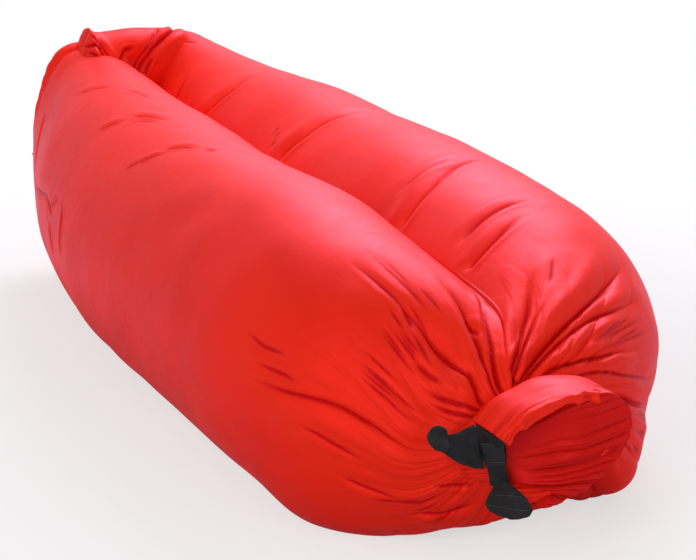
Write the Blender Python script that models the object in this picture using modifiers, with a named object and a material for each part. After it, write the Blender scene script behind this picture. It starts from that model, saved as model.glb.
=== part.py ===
"""Inflatable lounger, inflated and closed, at its real size. Metres, +Z up.

Two long air chambers lie side by side along Y. At the foot (-Y) they gather into the
rolled mouth, a hoop that a webbing strap with a side-release buckle holds closed. At the
head (+Y) a cross pillow joins them. The origin is on the ground, at the middle.
"""

import math

import bmesh
import bpy
import numpy as np
from mathutils import Matrix, Vector

# Whole lounger
LENGTH = 1.91
SPREAD = 0.172
CHAMBER_HALF_WIDTH = 0.218
CHAMBER_HEIGHT = 0.460
SETTLE = 0.010
WALL = 0.0012
CLEARANCE = 0.0003
SEAT_CLEARANCE = 0.0014

# Seam between the chambers, and the binding round the head
WEB_THICKNESS = 0.0020
WEB_HALF_HEIGHT = 0.070
BINDING_DEPTH = 0.014
BINDING_THICKNESS = 0.0060

# Rolled mouth
HOOP_HALF_WIDTH = 0.122
HOOP_HALF_HEIGHT = 0.077
HOOP_DEPTH = 0.100
HOOP_CENTRE_HEIGHT = 0.208
HOOP_OFFSET = -0.026
ROLL_THICKNESS = 0.020
STIFFENER_THICKNESS = 0.0030
STIFFENER_WIDTH = 0.072
COLLAR_LENGTH = 0.030
COLLAR_THICKNESS = 0.0080
COLLAR_PLEAT_DEPTH = 0.0030
MOUTH_FACE_SETBACK = 0.012
MOUTH_FACE_HOLLOW = 0.028
MOUTH_FACE_THICKNESS = 0.0016
MOUTH_FACE_PLEAT = 0.0040

# Head pillow
PILLOW_HALF_WIDTH = 0.122
PILLOW_OFFSET = -0.013
PILLOW_HALF_DEPTH = 0.066
PILLOW_HALF_HEIGHT = 0.088
PILLOW_SINK = 0.045
PILLOW_SETBACK = 0.006

# Pleats at the foot of each chamber, and the air bladders
PLEAT_DEPTH = 0.018
LINER_INSET = 0.008
LINER_WALL = 0.0008

# Webbing and buckle
WEBBING_WIDTH = 0.025
WEBBING_THICKNESS = 0.0020
ANCHOR_LENGTH = 0.010
ANCHOR_BEND = 0.012
ANCHOR_THICKNESS = 0.0080
ANCHOR_SLEEVE = 0.0022
UPPER_STRAP_LENGTH = 0.006
SOCKET_WIDTH = 0.034
SOCKET_THICKNESS = 0.013
SOCKET_LENGTH = 0.030
SOCKET_WALL = 0.0025
SOCKET_FLOOR = 0.006
WINDOW_LENGTH = 0.0122
PLUG_WIDTH = 0.031
PLUG_THICKNESS = 0.010
PLUG_LENGTH = 0.008
TONGUE_WIDTH = 0.006
TONGUE_THICKNESS = 0.004
TONGUE_LENGTH = 0.018
PRONG_WIDTH = 0.0042
PRONG_THICKNESS = 0.0050
PRONG_LENGTH = 0.0190
PRONG_ROOT_GAP = 0.0006
LATCH_STEP = 0.0014
LATCH_LENGTH = 0.0070
MOULDING_RADIUS = 0.0012
TAIL_WIDTH = 0.040
TAIL_THICKNESS = 0.0024
TAIL_LENGTH = 0.064
TAIL_RISE = 0.020
TAIL_END_WIDTH = 0.027
TAIL_LIP = 0.018
TAIL_TIP_LENGTH = 0.022
TAIL_TIP_THICKNESS = 0.010
TIP_RADIUS = 0.0024
CUT_OVERRUN = 0.004

# Angles
HOOP_TILT = math.radians(20)
UPPER_END_ANGLE = math.radians(122)
LOWER_END_ANGLE = math.radians(-134)
END_STEP_ANGLE = math.radians(2)
FACE_MARGIN_ANGLE = math.radians(4)
STRAP_TWIST = math.radians(50)
TAIL_LEAN = math.radians(38)
TAIL_LIP_TURN = math.radians(-62)
SMOOTH_ANGLE = math.radians(50)

# Counts
ARC_POINTS = 24
WALL_POINTS = 4
FOOT_LOBES = 6
HOOP_RINGS = 25
SLEEVE_STEPS = 2
ROLL_POINTS = 14
FACE_RAYS = 36
FACE_STEPS = 7
FACE_PLEATS = 12
COLLAR_POINTS = 48
COLLAR_PLEATS = 16
PILLOW_RINGS = 14
PILLOW_POINTS = 16

# Profile of a chamber from its neck (0) to the head (1), as shares of the sizes above
STATION_SHARES = (
    0, 0.012, 0.035, 0.07, 0.12, 0.18, 0.26, 0.38, 0.52, 0.66, 0.78, 0.87, 0.935, 0.975, 0.99, 1,
)
CENTRE_SHARES = (0, 0.20, 0.43, 0.66, 0.84, 0.95, 0.99, 1, 1, 0.94, 0.84, 0.75, 0.68, 0.64, 0.62, 0.61)
WIDTH_SHARES = (0, 0.30, 0.53, 0.74, 0.89, 0.99, 1.01, 1.01, 1, 0.91, 0.75, 0.52, 0.31, 0.16, 0.10, 0.05)
TOP_SHARES = (0, 0.16, 0.39, 0.61, 0.79, 0.91, 0.98, 1, 1, 1, 1, 1.01, 1.02, 1, 0.92, 0.02)
BOTTOM_SHARES = (0, 0.45, 0.80, 0.97, 1, 1, 1, 1, 1, 1, 1, 1, 0.97, 0.74, 0.48, 0.02)
RING_SHARES = (
    0, 0.012, 0.03, 0.055, 0.085, 0.12, 0.16, 0.21, 0.27, 0.34, 0.42, 0.50,
    0.58, 0.66, 0.73, 0.79, 0.845, 0.89, 0.93, 0.96, 0.982, 0.994, 1,
)
PLEAT_PEAK_SHARE = 0.05
PLEAT_END_SHARE = 0.27
NECK_PLEAT_SHARE = 0.35
LINER_START_SHARE = 0.05
ROLL_SQUARENESS = 4
HEAD_SEAM_SHARE = 0.52
WEB_START_SHARE = 0.10
WEB_END_SHARE = 0.86
PILLOW_EAR_SHARE = 1.08
PILLOW_END_SHARE = 0.72

# Places that follow from the sizes
HOOP_FRONT = -LENGTH / 2
HOOP_REAR = HOOP_FRONT + HOOP_DEPTH
NECK_Y = HOOP_REAR + COLLAR_LENGTH + 2 * CLEARANCE
HEAD_Y = LENGTH / 2 - BINDING_DEPTH - CLEARANCE
HOOP_CENTRE_Y = HOOP_FRONT + HOOP_DEPTH / 2
ROLL_HALF_WIDTH = HOOP_HALF_WIDTH - ROLL_THICKNESS / 2
ROLL_HALF_HEIGHT = HOOP_HALF_HEIGHT - ROLL_THICKNESS / 2
CHAMBER_GAP = WEB_THICKNESS / 2 + CLEARANCE
SEAM_HEIGHT = HEAD_SEAM_SHARE * CHAMBER_HEIGHT
PILLOW_CENTRE_HEIGHT = CHAMBER_HEIGHT - PILLOW_SINK

RED = (0.80, 0.035, 0.03, 1)
DARK_RED = (0.55, 0.02, 0.02, 1)
BLACK = (0.012, 0.012, 0.014, 1)
FILM = (0.75, 0.78, 0.80, 1)
MOULDED_BLACK = (0.02, 0.02, 0.022, 1)

parts = None
cutters = None


def clear_scene():
    for obj in list(bpy.data.objects):
        bpy.data.objects.remove(obj, do_unlink=True)


def make_collection(name):
    collection = bpy.data.collections.new(name)
    bpy.context.scene.collection.children.link(collection)
    return collection


def make_material(name, colour, roughness, metallic=0.0):
    material = bpy.data.materials.new(name)
    material.use_nodes = True
    shader = material.node_tree.nodes["Principled BSDF"]
    shader.inputs["Base Color"].default_value = colour
    shader.inputs["Roughness"].default_value = roughness
    shader.inputs["Metallic"].default_value = metallic
    return material


def add_object(name, mesh_data, material, place=None):
    """Turns a bmesh into a named, smooth-shaded part."""
    mesh = bpy.data.meshes.new(name)
    mesh_data.to_mesh(mesh)
    mesh_data.free()
    mesh.materials.append(material)
    mesh.shade_smooth()
    mesh.set_sharp_from_angle(angle=SMOOTH_ANGLE)
    obj = bpy.data.objects.new(name, mesh)
    parts.objects.link(obj)
    if place is not None:
        obj.matrix_world = place
    return obj


def add_cutter(name, mesh_data, place=None):
    mesh = bpy.data.meshes.new(name)
    mesh_data.to_mesh(mesh)
    mesh_data.free()
    obj = bpy.data.objects.new(name, mesh)
    cutters.objects.link(obj)
    obj.hide_render = True
    obj.display_type = "WIRE"
    if place is not None:
        obj.matrix_world = place
    return obj


def cut(obj, cutter):
    modifier = obj.modifiers.new("cut_" + cutter.name, "BOOLEAN")
    modifier.operation = "DIFFERENCE"
    modifier.solver = "EXACT"
    modifier.object = cutter


def solidify(obj, thickness, offset):
    modifier = obj.modifiers.new("wall", "SOLIDIFY")
    modifier.thickness = thickness
    modifier.offset = offset
    modifier.use_even_offset = False


def bevel(obj, width):
    modifier = obj.modifiers.new("rounded", "BEVEL")
    modifier.width = width
    modifier.segments = 2
    modifier.limit_method = "ANGLE"


def turn_out(mesh_data):
    """Points every face away from the middle of the shape."""
    middle = sum((v.co for v in mesh_data.verts), Vector()) / len(mesh_data.verts)
    outward = sum(f.normal.dot(f.calc_center_median() - middle) * f.calc_area() for f in mesh_data.faces)
    if outward < 0:
        bmesh.ops.reverse_faces(mesh_data, faces=mesh_data.faces)


def loft(rings, cap_first=True, cap_last=True, closed=True):
    """Skins a list of rings, each with the same number of points, all split along one diagonal."""
    mesh_data = bmesh.new()
    rows = [[mesh_data.verts.new(point) for point in ring] for ring in rings]
    count = len(rows[0])
    for row, following in zip(rows, rows[1:]):
        for i in range(count if closed else count - 1):
            j = (i + 1) % count
            mesh_data.faces.new((row[i], row[j], following[j]))
            mesh_data.faces.new((row[i], following[j], following[i]))
    if cap_first:
        mesh_data.faces.new(reversed(rows[0]))
    if cap_last:
        mesh_data.faces.new(rows[-1])
    mesh_data.normal_update()
    turn_out(mesh_data)
    return mesh_data


def pipe(outer_rings, inner_rings):
    """A wall between two sets of rings, open right through."""
    mesh_data = bmesh.new()
    outer = [[mesh_data.verts.new(point) for point in ring] for ring in outer_rings]
    inner = [[mesh_data.verts.new(point) for point in ring] for ring in inner_rings]
    count = len(outer[0])
    for i in range(count):
        j = (i + 1) % count
        for a, b in zip(outer, outer[1:]):
            mesh_data.faces.new((a[i], a[j], b[j], b[i]))
        for a, b in zip(inner, inner[1:]):
            mesh_data.faces.new((b[i], b[j], a[j], a[i]))
        mesh_data.faces.new((outer[0][j], outer[0][i], inner[0][i], inner[0][j]))
        mesh_data.faces.new((outer[-1][i], outer[-1][j], inner[-1][j], inner[-1][i]))
    mesh_data.normal_update()
    if mesh_data.calc_volume(signed=True) < 0:
        bmesh.ops.reverse_faces(mesh_data, faces=mesh_data.faces)
    return mesh_data


def box(low, high):
    mesh_data = bmesh.new()
    bmesh.ops.create_cube(mesh_data, size=1)
    low, high = Vector(low), Vector(high)
    size = high - low
    bmesh.ops.scale(mesh_data, vec=size, verts=mesh_data.verts)
    bmesh.ops.translate(mesh_data, vec=(low + high) / 2, verts=mesh_data.verts)
    return mesh_data


def along(shares, t):
    """Value of a share table at t, on a smooth curve through its entries."""
    slopes = np.gradient(shares, STATION_SHARES)
    i = min(max(int(np.searchsorted(STATION_SHARES, t)) - 1, 0), len(shares) - 2)
    step = STATION_SHARES[i + 1] - STATION_SHARES[i]
    u = (t - STATION_SHARES[i]) / step
    start, end = shares[i], shares[i + 1]
    rise, fall = slopes[i] * step, slopes[i + 1] * step
    return float(
        start + u * rise
        + u * u * (3 * (end - start) - 2 * rise - fall)
        + u * u * u * (2 * (start - end) + rise + fall)
    )


def mix(a, b, share):
    return a + (b - a) * share


def pleat_strength(t):
    """How deep the foot pleats are at t: strongest just past the neck."""
    if t < PLEAT_PEAK_SHARE:
        return mix(NECK_PLEAT_SHARE, 1, t / PLEAT_PEAK_SHARE)
    return max(0, (PLEAT_END_SHARE - t) / (PLEAT_END_SHARE - PLEAT_PEAK_SHARE)) ** 2


def chamber_section(t):
    """Centre x, half-width, centre z and half-height of the right chamber at t."""
    centre = SPREAD * along(CENTRE_SHARES, t)
    half_width = mix(ROLL_HALF_WIDTH, CHAMBER_HALF_WIDTH, along(WIDTH_SHARES, t))
    neck_top = HOOP_CENTRE_HEIGHT + ROLL_HALF_HEIGHT
    neck_bottom = HOOP_CENTRE_HEIGHT - ROLL_HALF_HEIGHT
    past_middle = t > STATION_SHARES[len(STATION_SHARES) // 2]
    narrow_top = SEAM_HEIGHT if past_middle else neck_top
    narrow_bottom = SEAM_HEIGHT if past_middle else neck_bottom
    top = mix(narrow_top, CHAMBER_HEIGHT, along(TOP_SHARES, t))
    bottom = mix(narrow_bottom, -SETTLE, along(BOTTOM_SHARES, t))
    return centre, half_width, (top + bottom) / 2, (top - bottom) / 2


def chamber_ring(side, t, inset=0.0, arc_points=ARC_POINTS, wall_points=WALL_POINTS):
    """Points of a chamber's skin at t, moved inwards by inset and flat where it is pressed."""
    centre, half_width, height, half_height = chamber_section(t)
    half_width, half_height = half_width - inset, half_height - inset
    wall_x = CHAMBER_GAP + max(inset, 0) * (WALL + CLEARANCE) / LINER_INSET - max(-inset, 0)
    ground = max(inset, 0) * (WALL + CLEARANCE) / LINER_INSET + min(inset, 0)
    reach = math.acos(max(-1, min(1, (wall_x - centre) / half_width)))
    y = mix(NECK_Y, HEAD_Y, t)
    depth = PLEAT_DEPTH * pleat_strength(t)
    points = []
    for i in range(arc_points):
        s = i / (arc_points - 1)
        angle = mix(-reach, reach, s)
        lobe = 1 - abs(math.cos(FOOT_LOBES * math.pi * s))
        drawn_in = depth * (lobe if inset == 0 else 1) * math.sin(math.pi * s)
        x = centre + (half_width - drawn_in) * math.cos(angle)
        z = height + (half_height - drawn_in) * math.sin(angle)
        points.append((max(x, wall_x), y, max(z, ground)))
    first, last = points[0], points[-1]
    for i in range(1, wall_points + 1):
        share = i / (wall_points + 1)
        points.append((wall_x, y, mix(last[2], first[2], share)))
    return [(side * x, y, z) for x, y, z in points]


def make_shell(name, side, material):
    rings = [chamber_ring(side, t) for t in RING_SHARES]
    obj = add_object(name, loft(rings, cap_first=False), material)
    solidify(obj, WALL, -1)
    return obj


def make_liner(name, side, material):
    """The film bladder inside a shell, resting on the shell's floor."""
    shares = [t for t in RING_SHARES[::2] if t >= LINER_START_SHARE and t < RING_SHARES[-2]]
    rings = [chamber_ring(side, t, LINER_INSET, ARC_POINTS // 2, WALL_POINTS // 2) for t in shares]
    obj = add_object(name, loft(rings, cap_first=False), material)
    solidify(obj, LINER_WALL, -1)
    return obj


def make_seam_web(material):
    """The strip sewn between the two shells, upright on the middle line."""
    low = mix(NECK_Y, HEAD_Y, WEB_START_SHARE)
    high = mix(NECK_Y, HEAD_Y, WEB_END_SHARE)
    middle = CHAMBER_HEIGHT / 2 - SETTLE
    half = WEB_THICKNESS / 2
    web = box((-half, low, middle - WEB_HALF_HEIGHT), (half, high, middle + WEB_HALF_HEIGHT))
    return add_object("seam_web", web, material)


def make_binding(material):
    """The folded tape sewn over the head seam."""
    centre, half_width, _, _ = chamber_section(1)
    reach = centre + half_width
    half = BINDING_THICKNESS / 2
    tape = box((-reach, HEAD_Y + CLEARANCE, SEAM_HEIGHT - half), (reach, LENGTH / 2, SEAM_HEIGHT + half))
    obj = add_object("head_binding", tape, material)
    bevel(obj, half / 2)
    return obj


def make_pillow(material):
    """The cross pillow at the head, with an ear at its left end, cut to sit on both chambers."""
    rings = []
    for i in range(PILLOW_RINGS):
        s = mix(-1, 1, i / (PILLOW_RINGS - 1))
        end_size = PILLOW_EAR_SHARE if s < 0 else PILLOW_END_SHARE
        size = mix(1, end_size, s ** 4)
        y_middle = HEAD_Y - PILLOW_SETBACK - PILLOW_HALF_DEPTH
        ring = []
        for k in range(PILLOW_POINTS):
            angle = 2 * math.pi * k / PILLOW_POINTS
            ring.append((
                PILLOW_OFFSET + s * PILLOW_HALF_WIDTH,
                y_middle + size * PILLOW_HALF_DEPTH * math.cos(angle),
                PILLOW_CENTRE_HEIGHT + size * PILLOW_HALF_HEIGHT * math.sin(angle),
            ))
        rings.append(ring)
    obj = add_object("head_pillow", loft(rings), material)
    for side, name in ((-1, "left_seat"), (1, "right_seat")):
        seat_rings = [chamber_ring(side, t, -SEAT_CLEARANCE) for t in RING_SHARES]
        cut(obj, add_cutter(name, loft(seat_rings)))
    return obj


def hoop_point(angle, outward, y, moved=1):
    """A point beside the roll's centre line: outward from it, at depth y.

    The hoop lies tilted and off the middle line: moved is 1 there and 0 at the necks.
    """
    c, s = math.cos(angle), math.sin(angle)
    normal = Vector((c / ROLL_HALF_WIDTH, 0, s / ROLL_HALF_HEIGHT)).normalized()
    spoke = Vector((ROLL_HALF_WIDTH * c, 0, ROLL_HALF_HEIGHT * s)) + outward * normal
    spoke.rotate(Matrix.Rotation(-HOOP_TILT * moved, 3, "Y"))
    return spoke + Vector((HOOP_OFFSET * moved, y, HOOP_CENTRE_HEIGHT))


def hoop_angles():
    return [mix(UPPER_END_ANGLE, LOWER_END_ANGLE, i / (HOOP_RINGS - 1)) for i in range(HOOP_RINGS)]


def roll_side(angle, outward, y):
    """A point beside the roll as it is built, on the straight run between two of its rings."""
    place = (angle - UPPER_END_ANGLE) / (LOWER_END_ANGLE - UPPER_END_ANGLE) * (HOOP_RINGS - 1)
    i = min(max(int(place), 0), HOOP_RINGS - 2)
    angles = hoop_angles()
    return hoop_point(angles[i], outward, y).lerp(hoop_point(angles[i + 1], outward, y), place - i)


def rounded_section(half_thickness, half_depth, count=ROLL_POINTS):
    """Outline of the roll's section as (outward, depth) pairs."""
    outline = []
    for k in range(count):
        angle = 2 * math.pi * k / count
        c, s = math.cos(angle), math.sin(angle)
        power = 2 / ROLL_SQUARENESS
        outline.append((
            half_thickness * math.copysign(abs(c) ** power, c),
            half_depth * math.copysign(abs(s) ** power, s),
        ))
    return outline


def hoop_ring(angle, outline):
    return [hoop_point(angle, out, HOOP_CENTRE_Y + depth) for out, depth in outline]


def make_roll(material):
    """The mouth rolled up flat and bent into a hoop, open along its core."""
    outer = rounded_section(ROLL_THICKNESS / 2, HOOP_DEPTH / 2)
    core = rounded_section(STIFFENER_THICKNESS / 2 + CLEARANCE, STIFFENER_WIDTH / 2 + CLEARANCE)
    angles = hoop_angles()
    wall = pipe([hoop_ring(a, outer) for a in angles], [hoop_ring(a, core) for a in angles])
    return add_object("mouth_roll", wall, material)


def make_stiffener(material):
    """The stiff strip in the roll's core."""
    outline = rounded_section(STIFFENER_THICKNESS / 2, STIFFENER_WIDTH / 2)
    rings = [hoop_ring(a, outline) for a in hoop_angles()]
    return add_object("mouth_stiffener", loft(rings), material)


def make_mouth_face(material):
    """The pleated face inside the hoop, fanned out from the strap's side."""
    reach = -ROLL_THICKNESS / 2 - CLEARANCE
    rim_y = HOOP_FRONT + MOUTH_FACE_SETBACK
    first = UPPER_END_ANGLE - FACE_MARGIN_ANGLE
    last = hoop_angles()[-1 - SLEEVE_STEPS] + FACE_MARGIN_ANGLE
    ends = [hoop_point(a, reach, rim_y) for a in (first, last)]
    heart = (ends[0] + ends[1]) / 2
    rings = []
    for step in range(1, FACE_STEPS + 1):
        share = step / FACE_STEPS
        ring = []
        for i in range(FACE_RAYS + 1):
            s = i / FACE_RAYS
            rim = roll_side(mix(first, last, s), reach, rim_y)
            point = heart.lerp(rim, share)
            hollow = MOUTH_FACE_HOLLOW * math.sin(math.pi * share) * math.sin(math.pi * s)
            pleat = MOUTH_FACE_PLEAT * share * abs(math.sin(FACE_PLEATS * math.pi * s))
            point.y += hollow + pleat
            ring.append(point)
        rings.append(ring)
    sheet = loft(rings, cap_first=False, cap_last=False, closed=False)
    fan_middle = sheet.verts.new(heart)
    sheet.verts.ensure_lookup_table()
    for i in range(FACE_RAYS):
        sheet.faces.new((fan_middle, sheet.verts[i], sheet.verts[i + 1]))
    bmesh.ops.recalc_face_normals(sheet, faces=sheet.faces)
    obj = add_object("mouth_face", sheet, material)
    solidify(obj, MOUTH_FACE_THICKNESS, 0)
    return obj


def make_collar(material):
    """The gathered ring of cloth between the chambers' necks and the roll."""
    def ring(outward, y, depth, moved):
        points = []
        for i in range(COLLAR_POINTS):
            angle = 2 * math.pi * i / COLLAR_POINTS
            pleat = depth * math.cos(COLLAR_PLEATS * angle)
            points.append(hoop_point(angle, outward + pleat, y, moved))
        return points

    rear, front = NECK_Y - CLEARANCE, HOOP_REAR + CLEARANCE
    middle = (rear + front) / 2
    half = COLLAR_THICKNESS / 2
    places = ((rear, 0, 0), (middle, COLLAR_PLEAT_DEPTH, 1 / 2), (front, 0, 1))
    outer = [ring(half, y, depth, moved) for y, depth, moved in places]
    inner = [ring(-half, y, depth, moved) for y, depth, moved in places]
    obj = add_object("neck_collar", pipe(outer, inner), material)
    skin = ANCHOR_SLEEVE + 2 * CLEARANCE
    room = rounded_section(ROLL_THICKNESS / 2 + skin, HOOP_DEPTH / 2 + skin)
    angles = hoop_angles()[-1 - SLEEVE_STEPS:]
    step = angles[0] - angles[1]
    angles = [angles[0] + step / 4] + angles + [angles[-1] - step / 4]
    cut(obj, add_cutter("sleeve_room", loft([hoop_ring(a, room) for a in angles])))
    return obj


def roll_end(angle, angle_before):
    """The middle of an end of the roll, and the way in which the roll runs out there."""
    end = hoop_point(angle, 0, HOOP_CENTRE_Y)
    return end, (end - hoop_point(angle_before, 0, HOOP_CENTRE_Y)).normalized()


def upper_end():
    return roll_end(UPPER_END_ANGLE, UPPER_END_ANGLE - END_STEP_ANGLE)


def lower_end():
    return roll_end(LOWER_END_ANGLE, LOWER_END_ANGLE + END_STEP_ANGLE)


def strap_frame():
    """The strap's line across the hoop's open side: its low end, its top and its matrix.

    The matrix takes +Z up along the strap and +Y across the webbing, which is twisted so
    that its flat side faces out of the hoop's corner.
    """
    upper, upper_out = upper_end()
    lower, lower_out = lower_end()
    top = upper + upper_out * ANCHOR_BEND
    low = lower + lower_out * ANCHOR_BEND
    up = (top - low).normalized()
    depth = Vector((0, 1, 0))
    inward = depth.cross(up)
    across = depth * math.cos(STRAP_TWIST) - inward * math.sin(STRAP_TWIST)
    turn = Matrix((across.cross(up), across, up)).transposed().to_4x4()
    return low, top, turn


def strap_place(height):
    """The matrix of a place on the strap, height above its low end."""
    low, top, turn = strap_frame()
    up = (top - low).normalized()
    return Matrix.Translation(low + up * height) @ turn


def strap_length():
    low, top, _ = strap_frame()
    return (top - low).length


def rectangle(half_thickness, half_width, z):
    return [
        (half_thickness, -half_width, z), (half_thickness, half_width, z),
        (-half_thickness, half_width, z), (-half_thickness, -half_width, z),
    ]


def webbing_end(middle):
    """The ring in which an anchor ends, round the webbing."""
    outline = rounded_section(ANCHOR_THICKNESS / 2, WEBBING_WIDTH / 2)
    _, _, turn = strap_frame()
    return [middle + turn @ Vector((-out, depth, 0)) for out, depth in outline]


def make_upper_anchor(material):
    """Black webbing folded over the roll's upper end, down to the strap."""
    wide = rounded_section(ROLL_THICKNESS / 2, HOOP_DEPTH / 2)
    _, out = upper_end()
    low, top, _ = strap_frame()
    start = [point + out * CLEARANCE for point in hoop_ring(UPPER_END_ANGLE, wide)]
    end = webbing_end(top + (low - top).normalized() * ANCHOR_LENGTH)
    return add_object("anchor_upper", loft([start, end]), material)


def make_lower_anchor(material):
    """Black sleeve round the roll's lower end, tapering up to the strap."""
    low, top, _ = strap_frame()
    up = (top - low).normalized()
    skin = CLEARANCE + ANCHOR_SLEEVE
    outer = rounded_section(ROLL_THICKNESS / 2 + skin, HOOP_DEPTH / 2 + skin)
    inner = rounded_section(ROLL_THICKNESS / 2 + CLEARANCE, HOOP_DEPTH / 2 + CLEARANCE)
    angles = hoop_angles()[-1 - SLEEVE_STEPS:]
    _, out = lower_end()
    end = webbing_end(low + up * ANCHOR_LENGTH)
    outer_rings = [hoop_ring(a, outer) for a in angles]
    outer_rings.append([p + out * skin for p in hoop_ring(LOWER_END_ANGLE, outer)])
    outer_rings.append(end)
    inner_rings = [hoop_ring(a, inner) for a in angles]
    inner_rings.append([p + out * CLEARANCE for p in hoop_ring(LOWER_END_ANGLE, inner)])
    body = bmesh.new()
    rows = [[body.verts.new(p) for p in ring] for ring in outer_rings]
    holes = [[body.verts.new(p) for p in ring] for ring in inner_rings]
    count = len(outer)
    for set_of_rows in (rows, holes):
        for a, b in zip(set_of_rows, set_of_rows[1:]):
            for i in range(count):
                j = (i + 1) % count
                body.faces.new((a[i], a[j], b[j], b[i]))
    for i in range(count):
        j = (i + 1) % count
        body.faces.new((rows[0][i], rows[0][j], holes[0][j], holes[0][i]))
    body.faces.new(rows[-1])
    body.faces.new(holes[-1])
    bmesh.ops.recalc_face_normals(body, faces=body.faces)
    return add_object("anchor_lower", body, material)


def heights_on_strap():
    """Where each piece of the strap starts, counted up from the strap's low end."""
    top = strap_length()
    socket_top = top - ANCHOR_LENGTH - CLEARANCE - UPPER_STRAP_LENGTH
    socket_low = socket_top - SOCKET_LENGTH
    plug_top = socket_low - CLEARANCE
    plug_low = plug_top - PLUG_LENGTH
    return {
        "anchor": ANCHOR_LENGTH,
        "plug": plug_low,
        "plug_top": plug_top,
        "socket": socket_low,
        "socket_top": socket_top,
        "upper_strap_top": top - ANCHOR_LENGTH - CLEARANCE,
    }


def make_straps(material):
    """The two short runs of webbing between the anchors and the buckle."""
    heights = heights_on_strap()
    half = WEBBING_THICKNESS / 2
    low = heights["anchor"] + CLEARANCE
    high = heights["plug"] - CLEARANCE
    lower = loft([rectangle(half, WEBBING_WIDTH / 2, z) for z in (0, (high - low) / 2, high - low)])
    add_object("strap_lower", lower, material, strap_place(low))
    start = heights["socket_top"] + CLEARANCE
    end = heights["upper_strap_top"]
    upper = loft([rectangle(half, WEBBING_WIDTH / 2, z) for z in (0, end - start)])
    add_object("strap_upper", upper, material, strap_place(start))


def make_socket(material):
    """The buckle's housing: open below for the plug, with a window on each edge."""
    height = heights_on_strap()["socket"]
    half_t, half_w = SOCKET_THICKNESS / 2, SOCKET_WIDTH / 2
    obj = add_object("buckle_socket", box((-half_t, -half_w, 0), (half_t, half_w, SOCKET_LENGTH)),
                     material, strap_place(height))
    bevel(obj, MOULDING_RADIUS)
    room = box((-half_t + SOCKET_WALL, -half_w + SOCKET_WALL, -CUT_OVERRUN),
               (half_t - SOCKET_WALL, half_w - SOCKET_WALL, SOCKET_LENGTH - SOCKET_FLOOR))
    cut(obj, add_cutter("socket_room", room, strap_place(height)))
    top = SOCKET_LENGTH - SOCKET_FLOOR
    window = box((-half_t + SOCKET_WALL, -half_w - CUT_OVERRUN, top - WINDOW_LENGTH),
                 (half_t - SOCKET_WALL, half_w + CUT_OVERRUN, top - SOCKET_WALL / 2))
    cut(obj, add_cutter("socket_window", window, strap_place(height)))
    return obj


def make_plug(material):
    """The plug's body and middle tongue."""
    heights = heights_on_strap()
    half_t, half_w = PLUG_THICKNESS / 2, PLUG_WIDTH / 2
    obj = add_object("buckle_plug", box((-half_t, -half_w, 0), (half_t, half_w, PLUG_LENGTH)),
                     material, strap_place(heights["plug"]))
    bevel(obj, MOULDING_RADIUS)
    tongue = box((-TONGUE_THICKNESS / 2, -TONGUE_WIDTH / 2, PLUG_LENGTH - MOULDING_RADIUS),
                 (TONGUE_THICKNESS / 2, TONGUE_WIDTH / 2, PLUG_LENGTH + TONGUE_LENGTH))
    joined = obj.modifiers.new("tongue", "BOOLEAN")
    joined.operation = "UNION"
    joined.solver = "EXACT"
    joined.object = add_cutter("plug_tongue", tongue, strap_place(heights["plug"]))
    return obj


def prong_edge():
    """Distance of a prong's outer edge from the buckle's middle line."""
    return SOCKET_WIDTH / 2 - SOCKET_WALL - CLEARANCE


def make_prong(name, side, material):
    """A sprung prong of the plug, with its origin at its root, which it bends about."""
    heights = heights_on_strap()
    root = prong_edge() - PRONG_WIDTH / 2
    outline = (
        (-PRONG_WIDTH / 2, 0), (PRONG_WIDTH / 2, 0),
        (PRONG_WIDTH / 2, PRONG_LENGTH - LATCH_LENGTH),
        (PRONG_WIDTH / 2 + LATCH_STEP, PRONG_LENGTH - LATCH_LENGTH),
        (PRONG_WIDTH / 4, PRONG_LENGTH), (-PRONG_WIDTH / 2, PRONG_LENGTH),
    )
    half = PRONG_THICKNESS / 2
    rings = [[(x, side * y, z) for y, z in outline] for x in (-half, half)]
    place = strap_place(heights["plug_top"] + PRONG_ROOT_GAP) @ Matrix.Translation((0, side * root, 0))
    return add_object(name, loft(rings), material, place)


def tail_place():
    """The matrix of the tail's root, at the socket's upper edge: +X runs out along the tail."""
    out = Vector((-1, 0, 0))
    place = strap_place(heights_on_strap()["socket_top"] - 2 * MOULDING_RADIUS)
    edges = [place @ Vector(point) for point in rectangle(SOCKET_THICKNESS / 2, SOCKET_WIDTH / 2, 0)]
    root = max(edges, key=lambda point: point.dot(out)) + out * CLEARANCE
    width = Vector((0, math.sin(TAIL_LEAN), math.cos(TAIL_LEAN)))
    face = out.cross(width)
    turn = Matrix((out, width, face)).transposed().to_4x4()
    return Matrix.Translation(root) @ turn


def make_tail(material):
    """The free end of the webbing, narrowing outwards, with a turned lip along its lower edge."""
    lip = Vector((0, -math.cos(TAIL_LIP_TURN), -math.sin(TAIL_LIP_TURN))) * TAIL_LIP
    rings = []
    for share in (0, 1 / 4, 1 / 2, 3 / 4, 1):
        x = TAIL_LENGTH * share
        lift = TAIL_RISE * math.sin(math.pi * share / 2)
        half = mix(TAIL_WIDTH, TAIL_END_WIDTH, share) / 2
        lip_y = lift - half + lip.y * mix(1, 1 / 2, share)
        lip_z = lip.z * mix(1, 1 / 2, share)
        rings.append([
            (x, lift + half, 0), (x, lift + half, TAIL_THICKNESS),
            (x, lift - half, TAIL_THICKNESS), (x, lip_y, TAIL_THICKNESS + lip_z),
            (x, lip_y, lip_z), (x, lift - half, 0),
        ])
    mesh_data = loft(rings)
    bmesh.ops.recalc_face_normals(mesh_data, faces=mesh_data.faces)
    add_object("strap_tail", mesh_data, material, tail_place())


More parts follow.
